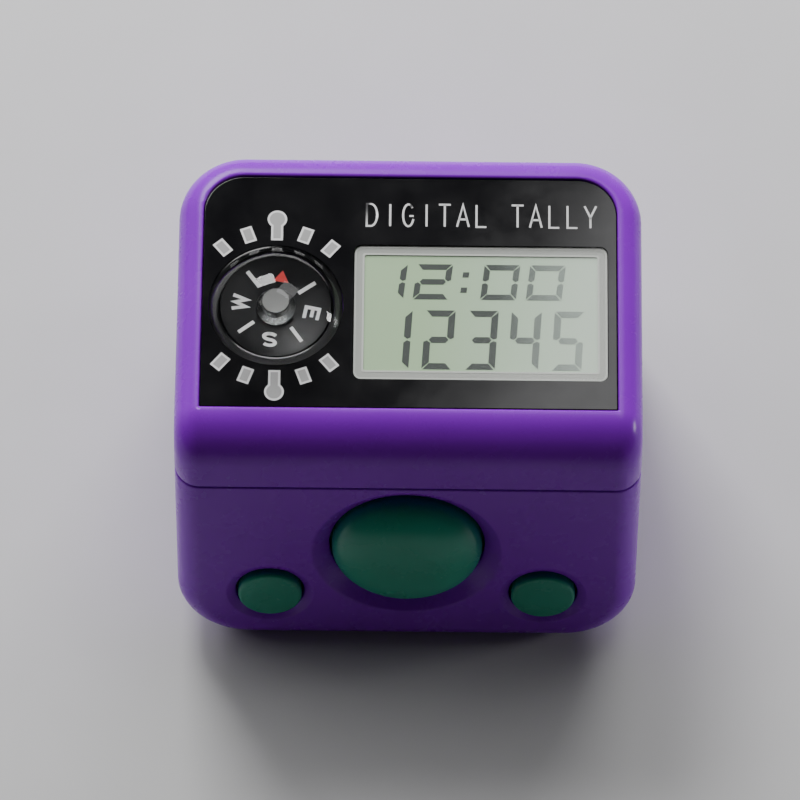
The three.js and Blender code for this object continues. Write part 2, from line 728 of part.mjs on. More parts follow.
add("main_board", mainBoard(), "circuitBoard");
add("chip_blob", chipBlob(), "epoxy");
add("crystal_can", crystalCan(), "steel");
add("board_capacitor_1", boardCapacitor(-1.5, -4.5), "brass");
add("board_capacitor_2", boardCapacitor(8, -2.5), "brass");
add("button_board", buttonBoard(), "circuitBoard");
add("ribbon_cable", ribbonCable(), "ribbon");

add("button_cell", buttonCell(), "steel");
add("contact_positive", positiveContact(), "brass");
add("contact_negative", negativeContact(), "brass");
add("battery_wire_red", redWire(), "redWire");
add("battery_wire_black", blackWire(), "blackWire");
add("battery_door", batteryDoor(), "purple");

for (const [label, side] of [["left", -1], ["right", 1]]) {
  add("case_screw_" + label, caseScrew(side), "steel");
  add("board_screw_" + label, boardScrew(side), "steel");
}

add("main_button_cap", mainButtonCap(), "green");
add("rubber_dome_main", rubberDome(MAIN_BUTTON, 6.4, 3.6), "silicone");
add("contact_pill_main", contactPill(MAIN_BUTTON, 2.2, MAIN_BUTTON.travel), "carbon");
for (const [label, place] of [["left", LEFT_BUTTON], ["right", RIGHT_BUTTON]]) {
  add(label + "_button_cap", sideButtonCap(place), "green");
  add("rubber_dome_" + label, rubberDome(place, 3.2, 1.9), "silicone");
  add("contact_pill_" + label, contactPill(place, 1.1, 0.8), "carbon");
}

add("compass_cup", compassCup(), "black");
add("compass_dome", compassDome(), "clear");
add("compass_pivot", compassPivot(), "steel");
add("compass_magnet", compassMagnet(), "steel");
add("compass_dial", compassDial(), "black");
add("compass_hub", compassHub(), "clear");

export default counter;
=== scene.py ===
"""The looks of a hand tally counter: a purple case with a display, a bubble compass and three buttons."""

import math

import bmesh
import bpy
import numpy as np
from mathutils import Matrix, Vector


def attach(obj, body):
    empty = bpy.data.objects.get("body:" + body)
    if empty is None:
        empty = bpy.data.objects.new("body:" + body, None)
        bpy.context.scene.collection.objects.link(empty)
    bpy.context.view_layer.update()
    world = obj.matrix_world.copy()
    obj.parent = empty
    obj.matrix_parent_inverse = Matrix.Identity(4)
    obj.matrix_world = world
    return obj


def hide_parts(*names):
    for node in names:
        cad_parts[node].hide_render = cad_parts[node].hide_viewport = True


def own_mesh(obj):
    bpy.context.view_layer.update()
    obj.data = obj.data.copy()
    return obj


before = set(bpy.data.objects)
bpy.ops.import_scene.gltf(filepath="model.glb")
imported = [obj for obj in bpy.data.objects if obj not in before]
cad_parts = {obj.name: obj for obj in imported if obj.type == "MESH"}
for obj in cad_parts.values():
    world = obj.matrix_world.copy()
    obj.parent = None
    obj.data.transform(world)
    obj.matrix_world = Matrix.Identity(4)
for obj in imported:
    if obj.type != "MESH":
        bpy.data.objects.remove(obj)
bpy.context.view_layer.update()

MM = 0.001

# ---------------------------------------------------------------- dimensions, in millimetres

WIDTH = 38
DEPTH = 32.2
HEIGHT = 26
LEAN = math.radians(12.5)  # the front face leans back from the vertical
SEAM_Z = 20.3
SEAM_GAP = 0.1
SEAM_EASE = 0.16  # radius of the soft edges along the seam
EDGE_R = 2.1
NOSE_R = 4
REAR_CORNER_R = 5.5
LOW_CORNER_R = 6
WALL = 1.4
ROOF_Z = 23.6

PANEL_WIDTH, PANEL_DEPTH, PANEL_Y = 33.8, 21.2, 3.1
PANEL_FLOOR, PANEL_TOP, PANEL_THICK = 25.0, 25.85, 0.7
PANEL_CORNER_R, PANEL_FRONT_R = 3.3, 0.12
# The recess round the panel: each height, and how far outside the panel its wall stands there.
PANEL_LIP = [
    (PANEL_FLOOR, 0.06), (25.86, 0.06), (25.9, 0.07), (25.94, 0.1), (25.97, 0.15), (26.02, 0.3), (26.6, 1.6),
]
WINDOW_X, WINDOW_Y, WINDOW_WIDTH, WINDOW_DEPTH, WINDOW_CORNER = 5.8, 1.3, 20.7, 12.3, 0.7
WINDOW_ABOVE_DISPLAY = 0.12
LCD_WIDTH, LCD_DEPTH, LCD_TOP, LCD_GLASS = 20.4, 12.8, 24.9, 0.5
LCD_CLEARANCE = 0.2
DISPLAY_Z = 25.6  # the polariser's top, close under the window so that the panel's edge doesn't shade it
POLARISER_INSET = 0.05
INK_LIFT = 0.002  # keeps printing clear of what it is printed on

LABEL = "DIGITAL TALLY"
LABEL_UP = 16.7  # from the panel's front edge
LABEL_LENGTH, LABEL_HEIGHT, LABEL_STROKE = 19.4, 2.05, 0.17
LETTER_START, LETTER_WIDTH = 0.16, 0.68  # as shares of the pitch between letters

COMPASS_X, COMPASS_Y = -10.9, 1.8
DOME_R, DOME_RISE = 5.45, 3.0
LIQUID_UNDER = 22.36
CUP_R, CUP_UNDER, CUP_WALL, CUP_BASE = 5.0, 21.5, 0.6, 0.8
CUP_CLEARANCE = 0.15
CARD_R, CARD_BORE_R, CARD_UNDER, CARD_TOP = 3.9, 0.5, 24.55, 24.8
HUB_UNDER, HUB_TOP = 24.85, 25.98
HEADING = 9  # how far the compass card is turned at rest, in degrees

MARK_R = 6.86  # from the compass's middle to the middle of each bar
MARK_RIM = 0.18  # the light rim round each mark's grey core
BAR_LENGTH, BAR_WIDTH = 1.43, 1.0
KEYHOLE_FOOT, KEYHOLE_HEAD, KEYHOLE_HEAD_R, KEYHOLE_STEM = 5.98, 7.94, 0.8, 0.97

# Digits on the display, placed from the window's middle. A style is width, height, stroke and slant.
TIME_DIGITS = (("1", -9.26), ("2", -5.57), ("0", -0.07), ("0", 3.65))
TIME_Y, TIME_STYLE = 1.29, (2.92, 3.24, 0.5, 0.117)
COLON_DOTS = ((-1.41, 2.17), (-1.24, 3.58))
DOT_OUTLINE = ((-0.27, -0.24), (0.24, -0.24), (0.3, 0.24), (-0.21, 0.24))
COUNT_DIGITS = "12345"
COUNT_X, COUNT_Y, COUNT_PITCH, COUNT_STYLE = -8.31, -5.12, 3.505, (2.45, 5.4, 0.56, 0.06)
SEGMENT_GAP = 0.09

MAIN_PLACE = (0.0, 14.2)  # across, and down the front face from the nose's sharp corner
LEFT_PLACE = (-11.3, 19.7)
RIGHT_PLACE = (11.3, 19.7)
BUTTON_CLEARANCE = 0.2
CAP_FOOT = -3.2  # the caps' inner ends, behind the front face
MAIN_CAP_R, MAIN_FLANGE_R, MAIN_RIM, MAIN_CROWN = 6.2, 7.3, -0.9, 1.7
MAIN_RECESS_R, MAIN_RECESS_DEPTH, MAIN_LIP = 7.8, 1.0, 0.5
SIDE_CAP_R, SIDE_FLANGE_R, SIDE_CROWN = 2.65, 3.4, 0.34
SIDE_RECESS_R, SIDE_RECESS_DEPTH, SIDE_LIP = 3.6, 0.35, 0.4
KEY_FOOT, KEY_HEAD, KEY_WALL = -5.95, -3.3, 0.6

SCREW_X, SCREW_Y, SCREW_HOLE_R = 12.2, 11.6, 2.1
DOOR_Y, DOOR_R, DOOR_UNDER, DOOR_FLANGE_TOP = 2.0, 8.25, 0.15, 0.85
DOOR_SPIGOT_R, DOOR_TOP, DOOR_CLEARANCE = 6.8, 2.3, 0.12
COIN_SLOT_LENGTH, COIN_SLOT_WIDTH = 10, 1.8

BELOW, ABOVE = -1, 30  # heights that a cutter can start or end at to pass right through

FOOT_Y = -DEPTH / 2 - EDGE_R * ((1 + math.sin(LEAN)) / math.cos(LEAN) - 1)
NOSE_Y = FOOT_Y + HEIGHT * math.tan(LEAN)


def front_frame(place):
    """The frame of a place on the front face: +Z points out of the face."""
    across, down = place
    origin = Vector((across, NOSE_Y - down * math.sin(LEAN), HEIGHT - down * math.cos(LEAN)))
    return Matrix.Translation(origin) @ Matrix.Rotation(math.pi / 2 - LEAN, 4, "X")


def at(x, y, z=0.0):
    return Matrix.Translation((x, y, z))


# ---------------------------------------------------------------- shader helpers

BUMP_DEPTH = 0.00001  # in metres


def new_material(name):
    material = bpy.data.materials.new(name)
    material.use_nodes = True
    tree = material.node_tree
    return material, tree, tree.nodes["Principled BSDF"]


def coordinates(tree):
    return tree.nodes.new("ShaderNodeTexCoord").outputs["Object"]


def noise(tree, scale, detail=4.0, roughness=0.55):
    node = tree.nodes.new("ShaderNodeTexNoise")
    node.inputs["Scale"].default_value = scale
    node.inputs["Detail"].default_value = detail
    node.inputs["Roughness"].default_value = roughness
    tree.links.new(coordinates(tree), node.inputs["Vector"])
    return node.outputs["Fac"]


def remap(tree, value, low, high, from_low=0.3, from_high=0.7):
    node = tree.nodes.new("ShaderNodeMapRange")
    node.inputs["From Min"].default_value = from_low
    node.inputs["From Max"].default_value = from_high
    node.inputs["To Min"].default_value = low
    node.inputs["To Max"].default_value = high
    tree.links.new(value, node.inputs["Value"])
    return node.outputs["Result"]


def ramp(tree, value, stops):
    """A colour between two stops, each given as (position, colour)."""
    node = tree.nodes.new("ShaderNodeValToRGB")
    for element, (position, colour) in zip(node.color_ramp.elements, stops):
        element.position = position
        element.color = (*colour, 1)
    tree.links.new(value, node.inputs["Fac"])
    return node.outputs["Color"]


def bump(tree, heights, strength):
    """Sums height inputs, given as (value, weight), into one bump normal."""
    total = None
    for value, weight in heights:
        scaled = tree.nodes.new("ShaderNodeMath")
        scaled.operation = "MULTIPLY"
        scaled.inputs[1].default_value = weight
        tree.links.new(value, scaled.inputs[0])
        if total is None:
            total = scaled.outputs[0]
            continue
        summed = tree.nodes.new("ShaderNodeMath")
        summed.operation = "ADD"
        tree.links.new(total, summed.inputs[0])
        tree.links.new(scaled.outputs[0], summed.inputs[1])
        total = summed.outputs[0]
    node = tree.nodes.new("ShaderNodeBump")
    node.inputs["Strength"].default_value = strength
    node.inputs["Distance"].default_value = BUMP_DEPTH
    tree.links.new(total, node.inputs["Height"])
    return node.outputs["Normal"]


def moulded_plastic(name, dark, light, roughness, grain=0.12, specular=0.5):
    """Moulded plastic: slight mottling, uneven gloss and a fine grain."""
    material, tree, shader = new_material(name)
    broad = noise(tree, 90, 2)
    fine = noise(tree, 1500, 2)
    smudge = noise(tree, 260, 4, 0.6)
    tree.links.new(ramp(tree, broad, [(0.3, dark), (0.7, light)]), shader.inputs["Base Color"])
    tree.links.new(remap(tree, smudge, roughness - 0.02, roughness + 0.04), shader.inputs["Roughness"])
    normal = bump(tree, [(fine, 0.25), (smudge, 0.15)], grain)
    tree.links.new(normal, shader.inputs["Normal"])
    shader.inputs["Specular IOR Level"].default_value = specular
    return material


def metal(name, colour, roughness, grain=0.15):
    material, tree, shader = new_material(name)
    brushed = noise(tree, 1600, 6, 0.7)
    dark = tuple(0.8 * c for c in colour)
    tree.links.new(ramp(tree, brushed, [(0.3, dark), (0.7, colour)]), shader.inputs["Base Color"])
    tree.links.new(remap(tree, brushed, roughness, roughness + 0.15), shader.inputs["Roughness"])
    tree.links.new(bump(tree, [(brushed, 1.0)], grain), shader.inputs["Normal"])
    shader.inputs["Metallic"].default_value = 1
    return material


def clear_plastic(name, tint, roughness, ior):
    material, tree, shader = new_material(name)
    haze = noise(tree, 900, 6, 0.7)
    shader.inputs["Base Color"].default_value = (*tint, 1)
    tree.links.new(remap(tree, haze, roughness, roughness + 0.03), shader.inputs["Roughness"])
    shader.inputs["Transmission Weight"].default_value = 1
    shader.inputs["IOR"].default_value = ior
    return material


def thin_window(name, gloss):
    """A clear sheet that lets light straight through and reflects a little more at grazing angles.

    From below it only lets light through, because Fresnel would turn slanting light back into the display.
    """
    material, tree, shader = new_material(name)
    tree.nodes.remove(shader)
    facing = tree.nodes.new("ShaderNodeFresnel")
    facing.inputs["IOR"].default_value = 1.49
    clear = tree.nodes.new("ShaderNodeBsdfTransparent")
    clear.inputs["Color"].default_value = (0.97, 0.98, 0.97, 1)
    mirror = tree.nodes.new("ShaderNodeBsdfGlossy")
    haze = noise(tree, 900, 6, 0.7)
    tree.links.new(remap(tree, haze, gloss, gloss + 0.04), mirror.inputs["Roughness"])
    mixed = tree.nodes.new("ShaderNodeMixShader")
    tree.links.new(facing.outputs["Fac"], mixed.inputs["Fac"])
    tree.links.new(clear.outputs["BSDF"], mixed.inputs[1])
    tree.links.new(mirror.outputs["BSDF"], mixed.inputs[2])
    side = tree.nodes.new("ShaderNodeNewGeometry")
    from_below = tree.nodes.new("ShaderNodeMixShader")
    tree.links.new(side.outputs["Backfacing"], from_below.inputs["Fac"])
    tree.links.new(mixed.outputs["Shader"], from_below.inputs[1])
    tree.links.new(clear.outputs["BSDF"], from_below.inputs[2])
    tree.links.new(from_below.outputs["Shader"], tree.nodes["Material Output"].inputs["Surface"])
    return material


def see_through(name):
    """The window's underside and edges: they let light straight through and reflect nothing."""
    material, tree, shader = new_material(name)
    tree.nodes.remove(shader)
    clear = tree.nodes.new("ShaderNodeBsdfTransparent")
    clear.inputs["Color"].default_value = (0.98, 0.99, 0.98, 1)
    tree.links.new(clear.outputs["BSDF"], tree.nodes["Material Output"].inputs["Surface"])
    return material


def painted_glare_ink(name, left, right, start, end):
    """Ink or glass whose colour changes across X from start to end, in millimetres. The lighter end is a
    painted reflection of glare.
    """
    material, tree, shader = new_material(name)
    split = tree.nodes.new("ShaderNodeSeparateXYZ")
    tree.links.new(coordinates(tree), split.inputs["Vector"])
    along = remap(tree, split.outputs["X"], 0, 1, start * MM, end * MM)
    tree.links.new(ramp(tree, along, [(0.0, left), (1.0, right)]), shader.inputs["Base Color"])
    speckle = noise(tree, 2500, 3)
    tree.links.new(bump(tree, [(speckle, 1.0)], 0.05), shader.inputs["Normal"])
    shader.inputs["Roughness"].default_value = 0.45
    return material


PURPLE = moulded_plastic("purple_abs", (0.225, 0.002, 0.54), (0.245, 0.004, 0.58), 0.26, 0.05, 0.3)
GREEN = moulded_plastic("green_abs", (0.010, 0.29, 0.185), (0.014, 0.33, 0.215), 0.26, specular=0.35)
PANEL_BLACK = moulded_plastic("panel_gloss", (0.004, 0.004, 0.005), (0.006, 0.006, 0.007), 0.09, 0.02)
BLACK = moulded_plastic("black_abs", (0.006, 0.006, 0.007), (0.012, 0.012, 0.013), 0.4)
CARD_BLACK = moulded_plastic("card_black", (0.004, 0.004, 0.005), (0.007, 0.007, 0.008), 0.3, specular=0.15)
WHITE_INK = moulded_plastic("white_ink", (0.66, 0.66, 0.66), (0.72, 0.72, 0.72), 0.45)
MARK_INK = moulded_plastic("mark_ink", (0.70, 0.70, 0.70), (0.76, 0.76, 0.76), 0.4)
MARK_CORE = moulded_plastic("mark_core", (0.30, 0.30, 0.30), (0.34, 0.34, 0.34), 0.4)
CARD_INK = moulded_plastic("card_ink", (0.86, 0.86, 0.86), (0.95, 0.95, 0.95), 0.5)
RED_INK = moulded_plastic("red_ink", (0.70, 0.03, 0.03), (0.85, 0.05, 0.04), 0.45)
BORDER_GREY = moulded_plastic("border_grey", (0.36, 0.36, 0.35), (0.40, 0.40, 0.385), 0.35)
BORDER_LIGHT = moulded_plastic("border_light", (0.52, 0.52, 0.50), (0.58, 0.58, 0.56), 0.3)
# The display face grows lighter and the lit segments fade towards the right: painted glare, standing in for a
# light reflected in the window.
DISPLAY = painted_glare_ink("display_face", (0.40, 0.56, 0.345), (0.55, 0.65, 0.55), 1.0, 14.5)
SEGMENT = painted_glare_ink("display_segment", (0.026, 0.035, 0.031), (0.34, 0.40, 0.36), 7.0, 16.0)
CLEAR = clear_plastic("clear_acrylic", (0.97, 0.98, 0.98), 0.0, 1.42)
WINDOW_CLEAR = thin_window("window_acrylic", 0.08)
WINDOW_EDGE = see_through("window_edge")
HUB_CLEAR = clear_plastic("hub_clear", (0.78, 0.80, 0.80), 0.25, 1.35)
HUB_GREY = moulded_plastic("hub_grey", (0.16, 0.16, 0.16), (0.26, 0.26, 0.25), 0.4)
WHITE_PLASTIC = moulded_plastic("white_plastic", (0.70, 0.69, 0.65), (0.78, 0.77, 0.73), 0.45)
ELASTOMER = moulded_plastic("elastomer", (0.08, 0.10, 0.12), (0.14, 0.16, 0.18), 0.8, 0.3)
BOARD_GREEN = moulded_plastic("solder_mask", (0.010, 0.10, 0.030), (0.016, 0.14, 0.045), 0.35)
EPOXY = moulded_plastic("epoxy", (0.006, 0.006, 0.006), (0.012, 0.012, 0.012), 0.2)
SILICONE = moulded_plastic("silicone", (0.52, 0.50, 0.46), (0.60, 0.58, 0.54), 0.7, 0.3)
CARBON = moulded_plastic("carbon", (0.012, 0.012, 0.012), (0.02, 0.02, 0.02), 0.9, 0.4)
RIBBON = moulded_plastic("ribbon", (0.42, 0.16, 0.03), (0.50, 0.20, 0.04), 0.35)
TAPE = moulded_plastic("tape", (0.60, 0.56, 0.44), (0.68, 0.64, 0.52), 0.8, 0.3)
RED_WIRE = moulded_plastic("red_wire", (0.35, 0.01, 0.01), (0.45, 0.02, 0.015), 0.4)
BLACK_WIRE = moulded_plastic("black_wire", (0.01, 0.01, 0.01), (0.016, 0.016, 0.016), 0.4)
STEEL = metal("steel", (0.58, 0.58, 0.57), 0.22)
BRASS = metal("brass", (0.78, 0.56, 0.26), 0.25)
FOIL = metal("foil", (0.70, 0.72, 0.70), 0.35)

# ---------------------------------------------------------------- mesh helpers


def add_mesh(name, points, faces, material, sharp=35):
    """A piece from points in millimetres. Edges sharper than the angle, in degrees, are shaded sharp."""
    mesh = bpy.data.meshes.new(name)
    mesh.from_pydata([tuple(MM * c for c in p) for p in points], [], faces)
    tidy_normals(mesh)
    piece = bpy.data.objects.new(name, mesh)
    bpy.context.scene.collection.objects.link(piece)
    mesh.materials.append(material)
    shade(piece, sharp)
    return piece


def tidy_normals(mesh):
    work = bmesh.new()
    work.from_mesh(mesh)
    bmesh.ops.remove_doubles(work, verts=work.verts, dist=1e-8)
    bmesh.ops.recalc_face_normals(work, faces=work.faces)
    work.to_mesh(mesh)
    work.free()


def shade(piece, sharp):
    mesh = piece.data
    mesh.polygons.foreach_set("use_smooth", [True] * len(mesh.polygons))
    mesh.set_sharp_from_angle(angle=math.radians(sharp))


def weigh_normals(piece):
    weighted = piece.modifiers.new("even_shading", "WEIGHTED_NORMAL")
    weighted.keep_sharp = True
    weighted.weight = 80


def place_on(piece, body, *replaced, slot=None):
    """The piece rides on a body, and stands for CAD nodes."""
    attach(piece, body)
    if replaced:
        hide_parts(*replaced)
    return piece


def rings_to_solid(rings, tube=False):
    """Points and faces of a skin over rings of equally many points. A tube's last ring meets its first."""
    count = len(rings[0])
    points = [p for ring in rings for p in ring]
    faces = []
    for level in range(len(rings) if tube else len(rings) - 1):
        above = (level + 1) % len(rings)
        for k in range(count):
            after = (k + 1) % count
            corners = (level * count + k, level * count + after, above * count + after, above * count + k)
            faces.append(corners)
    if not tube:
        last = (len(rings) - 1) * count
        faces.append(tuple(range(count))[::-1])
        faces.append(tuple(range(last, last + count)))
    return points, faces


def rounded_profile(profile, steps=4):
    """Replaces each profile corner [r, z, radius] with an arc. A corner with no radius stays sharp."""
    out = []
    for i, corner in enumerate(profile):
        if len(corner) < 3 or i in (0, len(profile) - 1):
            out.append((corner[0], corner[1]))
            continue
        here = Vector(corner[:2])
        back = (Vector(profile[i - 1][:2]) - here).normalized()
        ahead = (Vector(profile[i + 1][:2]) - here).normalized()
        half = back.angle(ahead) / 2
        reach = corner[2] / math.tan(half)
        start = here + back * reach
        end = here + ahead * reach
        centre = here + (back + ahead).normalized() * (corner[2] / math.sin(half))
        for k in range(steps + 1):
            along = start.lerp(end, k / steps) - centre
            out.append(tuple(centre + along.normalized() * corner[2]))
    return out


def lathe_parts(profile, segments, matrix):
    """Points and faces of a profile of (radius, z) turned about +Z and then placed by matrix."""
    rings = []
    points = []
    for radius, z in profile:
        if radius < 1e-6:
            rings.append([len(points)])
            points.append(matrix @ Vector((0, 0, z)))
            continue
        ring = []
        for k in range(segments):
            angle = 2 * math.pi * k / segments
            ring.append(len(points))
            points.append(matrix @ Vector((radius * math.cos(angle), radius * math.sin(angle), z)))
        rings.append(ring)
    faces = []
    for low, high in zip(rings, rings[1:]):
        for k in range(segments):
            after = (k + 1) % segments
            if len(low) == 1 and len(high) == 1:
                continue
            if len(low) == 1:
                faces.append((low[0], high[after], high[k]))
            elif len(high) == 1:
                faces.append((low[k], low[after], high[0]))
            else:
                faces.append((low[k], low[after], high[after], high[k]))
    return points, faces


def turned(name, profile, material, matrix, segments=96):
    points, faces = lathe_parts(profile, segments, matrix)
    return add_mesh(name, points, faces, material)


def outline_ring(points, z):
    return [(x, y, z) for x, y in points]


def rounded_outline(corners, steps=10):
    """Points of a polygon given anticlockwise as (x, y, radius), with its corners rounded."""
    out = []
    for i, (x, y, radius) in enumerate(corners):
        here = Vector((x, y))
        if radius < 1e-4:
            out.append((x, y))
            continue
        back = (Vector(corners[i - 1][:2]) - here).normalized()
        ahead = (Vector(corners[(i + 1) % len(corners)][:2]) - here).normalized()
        half = back.angle(ahead) / 2
        centre = here + (back + ahead).normalized() * (radius / math.sin(half))
        start = here + back * (radius / math.tan(half)) - centre
        turn = math.pi - 2 * half
        for k in range(steps + 1):
            out.append(tuple(centre + Matrix.Rotation(turn * k / steps, 2) @ start))
    return out


def rectangle_outline(x, y, width, depth, radius, steps=10):
    w, d = width / 2, depth / 2
    corners = [(x - w, y - d, radius), (x + w, y - d, radius), (x + w, y + d, radius), (x - w, y + d, radius)]
    return rounded_outline(corners, steps)


def panel_outline(grow):
    """The face panel's outline, moved out by grow: small corners along the nose, large ones at the rear."""
    half = PANEL_WIDTH / 2 + grow
    front = PANEL_Y - PANEL_DEPTH / 2 - grow
    rear = PANEL_Y + PANEL_DEPTH / 2 + grow
    corner = PANEL_CORNER_R + grow
    along_nose = [(-half, front, PANEL_FRONT_R), (half, front, PANEL_FRONT_R)]
    return rounded_outline(along_nose + [(half, rear, corner), (-half, rear, corner)], 14)


def turned_outline(outline, degrees):
    turn = Matrix.Rotation(math.radians(degrees), 2)
    return [turn @ Vector(p) for p in outline]


def plate_parts(outline_at, levels):
    """A skin over outlines: levels is a list of (z, grow)."""
    return rings_to_solid([outline_ring(outline_at(grow), z) for z, grow in levels])


def cut(piece, *tools):
    """Cuts the tools out of the piece one by one and removes them."""
    for tool in tools:
        modifier = piece.modifiers.new("boolean", "BOOLEAN")
        modifier.operation = "DIFFERENCE"
        modifier.object = tool
        modifier.solver = "EXACT"
        bpy.context.view_layer.update()
        depsgraph = bpy.context.evaluated_depsgraph_get()
        mesh = bpy.data.meshes.new_from_object(piece.evaluated_get(depsgraph))
        piece.modifiers.clear()
        material = piece.data.materials[0]
        piece.data = mesh
        mesh.materials.clear()
        mesh.materials.append(material)
        bpy.data.objects.remove(tool)
    return piece


# ---------------------------------------------------------------- the case's rounded form


def clamp_in_wedge(y, z, inset):
    """The nearest points of the corner between the top and the front face, each moved in by inset."""
    ny, nz = -math.cos(LEAN), math.sin(LEAN)
    top = HEIGHT - inset
    reach = ny * FOOT_Y - inset  # a point is inside the front face where ny * y + nz * z <= reach
    y_top, z_top = y, np.minimum(z, top)
    over = np.maximum(ny * y + nz * z - reach, 0)
    y_front, z_front = y - over * ny, z - over * nz
    top_ok = ny * y_top + nz * z_top <= reach + 1e-9
    front_ok = z_front <= top + 1e-9
    corner_y = (reach - nz * top) / ny
    out_y = np.where(top_ok, y_top, np.where(front_ok, y_front, corner_y))
    out_z = np.where(top_ok, z_top, np.where(front_ok, z_front, top))
    return out_y, out_z


def onto_disc(a, b, core_a, core_b, radius):
    """Moves (a, b) to within radius of its core point."""
    da, db = a - core_a, b - core_b
    length = np.hypot(da, db)
    scale = np.where(length > radius, radius / np.maximum(length, 1e-12), 1)
    return core_a + da * scale, core_b + db * scale


def core_of_case(points, iterations=160):
    """Nearest points of the case's core, which is the case less a rolling ball of EDGE_R.

    The core is where three rounded prisms cross: seen from the front, from above and from the side.
    """
    half = WIDTH / 2
    rear = DEPTH / 2

    def front_view(p):
        r = LOW_CORNER_R - EDGE_R
        limit = half - LOW_CORNER_R
        core_x, core_z = np.clip(p[:, 0], -limit, limit), np.maximum(p[:, 2], LOW_CORNER_R)
        x, z = onto_disc(p[:, 0], p[:, 2], core_x, core_z, r)
        return np.stack([x, p[:, 1], z], 1)

    def top_view(p):
        r = REAR_CORNER_R - EDGE_R
        limit = half - REAR_CORNER_R
        core_y = np.minimum(p[:, 1], rear - REAR_CORNER_R)
        x, y = onto_disc(p[:, 0], p[:, 1], np.clip(p[:, 0], -limit, limit), core_y, r)
        return np.stack([x, y, p[:, 2]], 1)

    def side_view(p):
        core_y, core_z = clamp_in_wedge(p[:, 1], p[:, 2], NOSE_R)
        y, z = onto_disc(p[:, 1], p[:, 2], core_y, core_z, NOSE_R - EDGE_R)
        return np.stack([p[:, 0], y, z], 1)

    views = [front_view, top_view, side_view]
    owed = [np.zeros_like(points) for _ in views]
    near = points.copy()
    for _ in range(iterations):
        for i, view in enumerate(views):
            moved = view(near + owed[i])
            owed[i] = near + owed[i] - moved
            near = moved
    return near


def grid_positions(length, dense=9.0, fine=0.42, coarse=2.4):
    """Positions from 0 to length: close together near both ends."""
    steps = int(dense / fine)
    start = [dense * k / steps for k in range(steps)]
    middle_steps = max(int((length - 2 * dense) / coarse), 1)
    middle = [dense + (length - 2 * dense) * k / middle_steps for k in range(middle_steps + 1)]
    end = [length - p for p in reversed(start)]
    return [p / length for p in start + middle + end]


def case_skin(radius):
    """Points and faces of the case's surface, radius outside its core."""
    away = 1.5  # how far outside the case the box of starting points lies
    low, high = -away, HEIGHT + away
    half, rear = WIDTH / 2 + away, DEPTH / 2 + away

    def front_y(z):
        return FOOT_Y + z * math.tan(LEAN) - away / math.cos(LEAN)

    corners = {
        (sx, sy, sz): Vector((sx * half, rear if sy > 0 else front_y(z), z))
        for sx in (-1, 1)
        for sy in (-1, 1)
        for sz, z in ((-1, low), (1, high))
    }
    across = grid_positions(2 * half)
    deep = grid_positions(DEPTH + 2 * away, 8.5)
    tall = grid_positions(HEIGHT + 2 * away, 8.5)
    sides = [
        [(-1, -1, -1), (1, -1, -1), (1, -1, 1), (-1, -1, 1), across, tall],
        [(1, 1, -1), (-1, 1, -1), (-1, 1, 1), (1, 1, 1), across, tall],
        [(-1, 1, -1), (-1, -1, -1), (-1, -1, 1), (-1, 1, 1), deep, tall],
        [(1, -1, -1), (1, 1, -1), (1, 1, 1), (1, -1, 1), deep, tall],
        [(-1, 1, -1), (1, 1, -1), (1, -1, -1), (-1, -1, -1), across, deep],
        [(-1, -1, 1), (1, -1, 1), (1, 1, 1), (-1, 1, 1), across, deep],
    ]
    points, faces = [], []
    for a, b, c, d, us, vs in sides:
        start = len(points)
        for v in vs:
            left = corners[a].lerp(corners[d], v)
            right = corners[b].lerp(corners[c], v)
            points.extend(left.lerp(right, u) for u in us)
        n = len(us)
        for j in range(len(vs) - 1):
            for i in range(n - 1):
                k = start + j * n + i
                faces.append((k, k + 1, k + n + 1, k + n))
    sharp = np.array([tuple(p) for p in points])
    core = core_of_case(sharp)
    outward = sharp - core
    outward /= np.linalg.norm(outward, axis=1, keepdims=True)
    return core + radius * outward, faces


def case_block(name, radius, low=None, high=None, eased=None):
    """The case's form between two heights. The edge at height eased is rounded a little."""
    points, faces = case_skin(radius)
    piece = add_mesh(name, points, faces, PURPLE)
    work = bmesh.new()
    work.from_mesh(piece.data)
    bmesh.ops.remove_doubles(work, verts=work.verts, dist=2e-6)
    bmesh.ops.dissolve_limit(work, angle_limit=math.radians(0.1), verts=work.verts, edges=work.edges)
    for z, keep in ((low, 1), (high, -1)):
        if z is None:
            continue
        everything = work.verts[:] + work.edges[:] + work.faces[:]
        level, outward = (0, 0, z * MM), (0, 0, -keep)
        bmesh.ops.bisect_plane(
            work, geom=everything, dist=1e-8, plane_co=level, plane_no=outward, clear_outer=True
        )
    if eased is not None:
        ease_edge(work, eased, 1 if eased == low else -1)
    open_edges = [e for e in work.edges if e.is_boundary]
    if open_edges:
        bmesh.ops.holes_fill(work, edges=open_edges, sides=0)
    bmesh.ops.recalc_face_normals(work, faces=work.faces)
    work.to_mesh(piece.data)
    work.free()
    return piece


def ease_edge(work, z, inwards):
    """Rounds the open rim at height z: each level is moved in by what a small arc would take off."""
    radius = SEAM_EASE
    for angle in (0.4, 0.9, 1.57):
        rise = radius * (1 - math.cos(angle))
        everything = work.verts[:] + work.edges[:] + work.faces[:]
        bmesh.ops.bisect_plane(
            work, geom=everything, dist=1e-8, plane_co=(0, 0, (z + inwards * rise) * MM), plane_no=(0, 0, 1)
        )
    work.normal_update()
    moves = []
    for vert in work.verts:
        rise = abs(vert.co.z / MM - z)
        flat = Vector((vert.normal.x, vert.normal.y, 0))
        if rise < radius and flat.length > 0.1:
            inset = radius - math.sqrt(radius**2 - (radius - rise) ** 2)
            moves.append((vert, -flat.normalized() * inset * MM))
    for vert, move in moves:
        vert.co += move


def cutter(name, parts):
    points, faces = parts
    return add_mesh(name, points, faces, PURPLE)


def round_cutter(name, radius, low, high, place, segments=96):
    return cutter(name, lathe_parts([(0, low), (radius, low), (radius, high), (0, high)], segments, place))


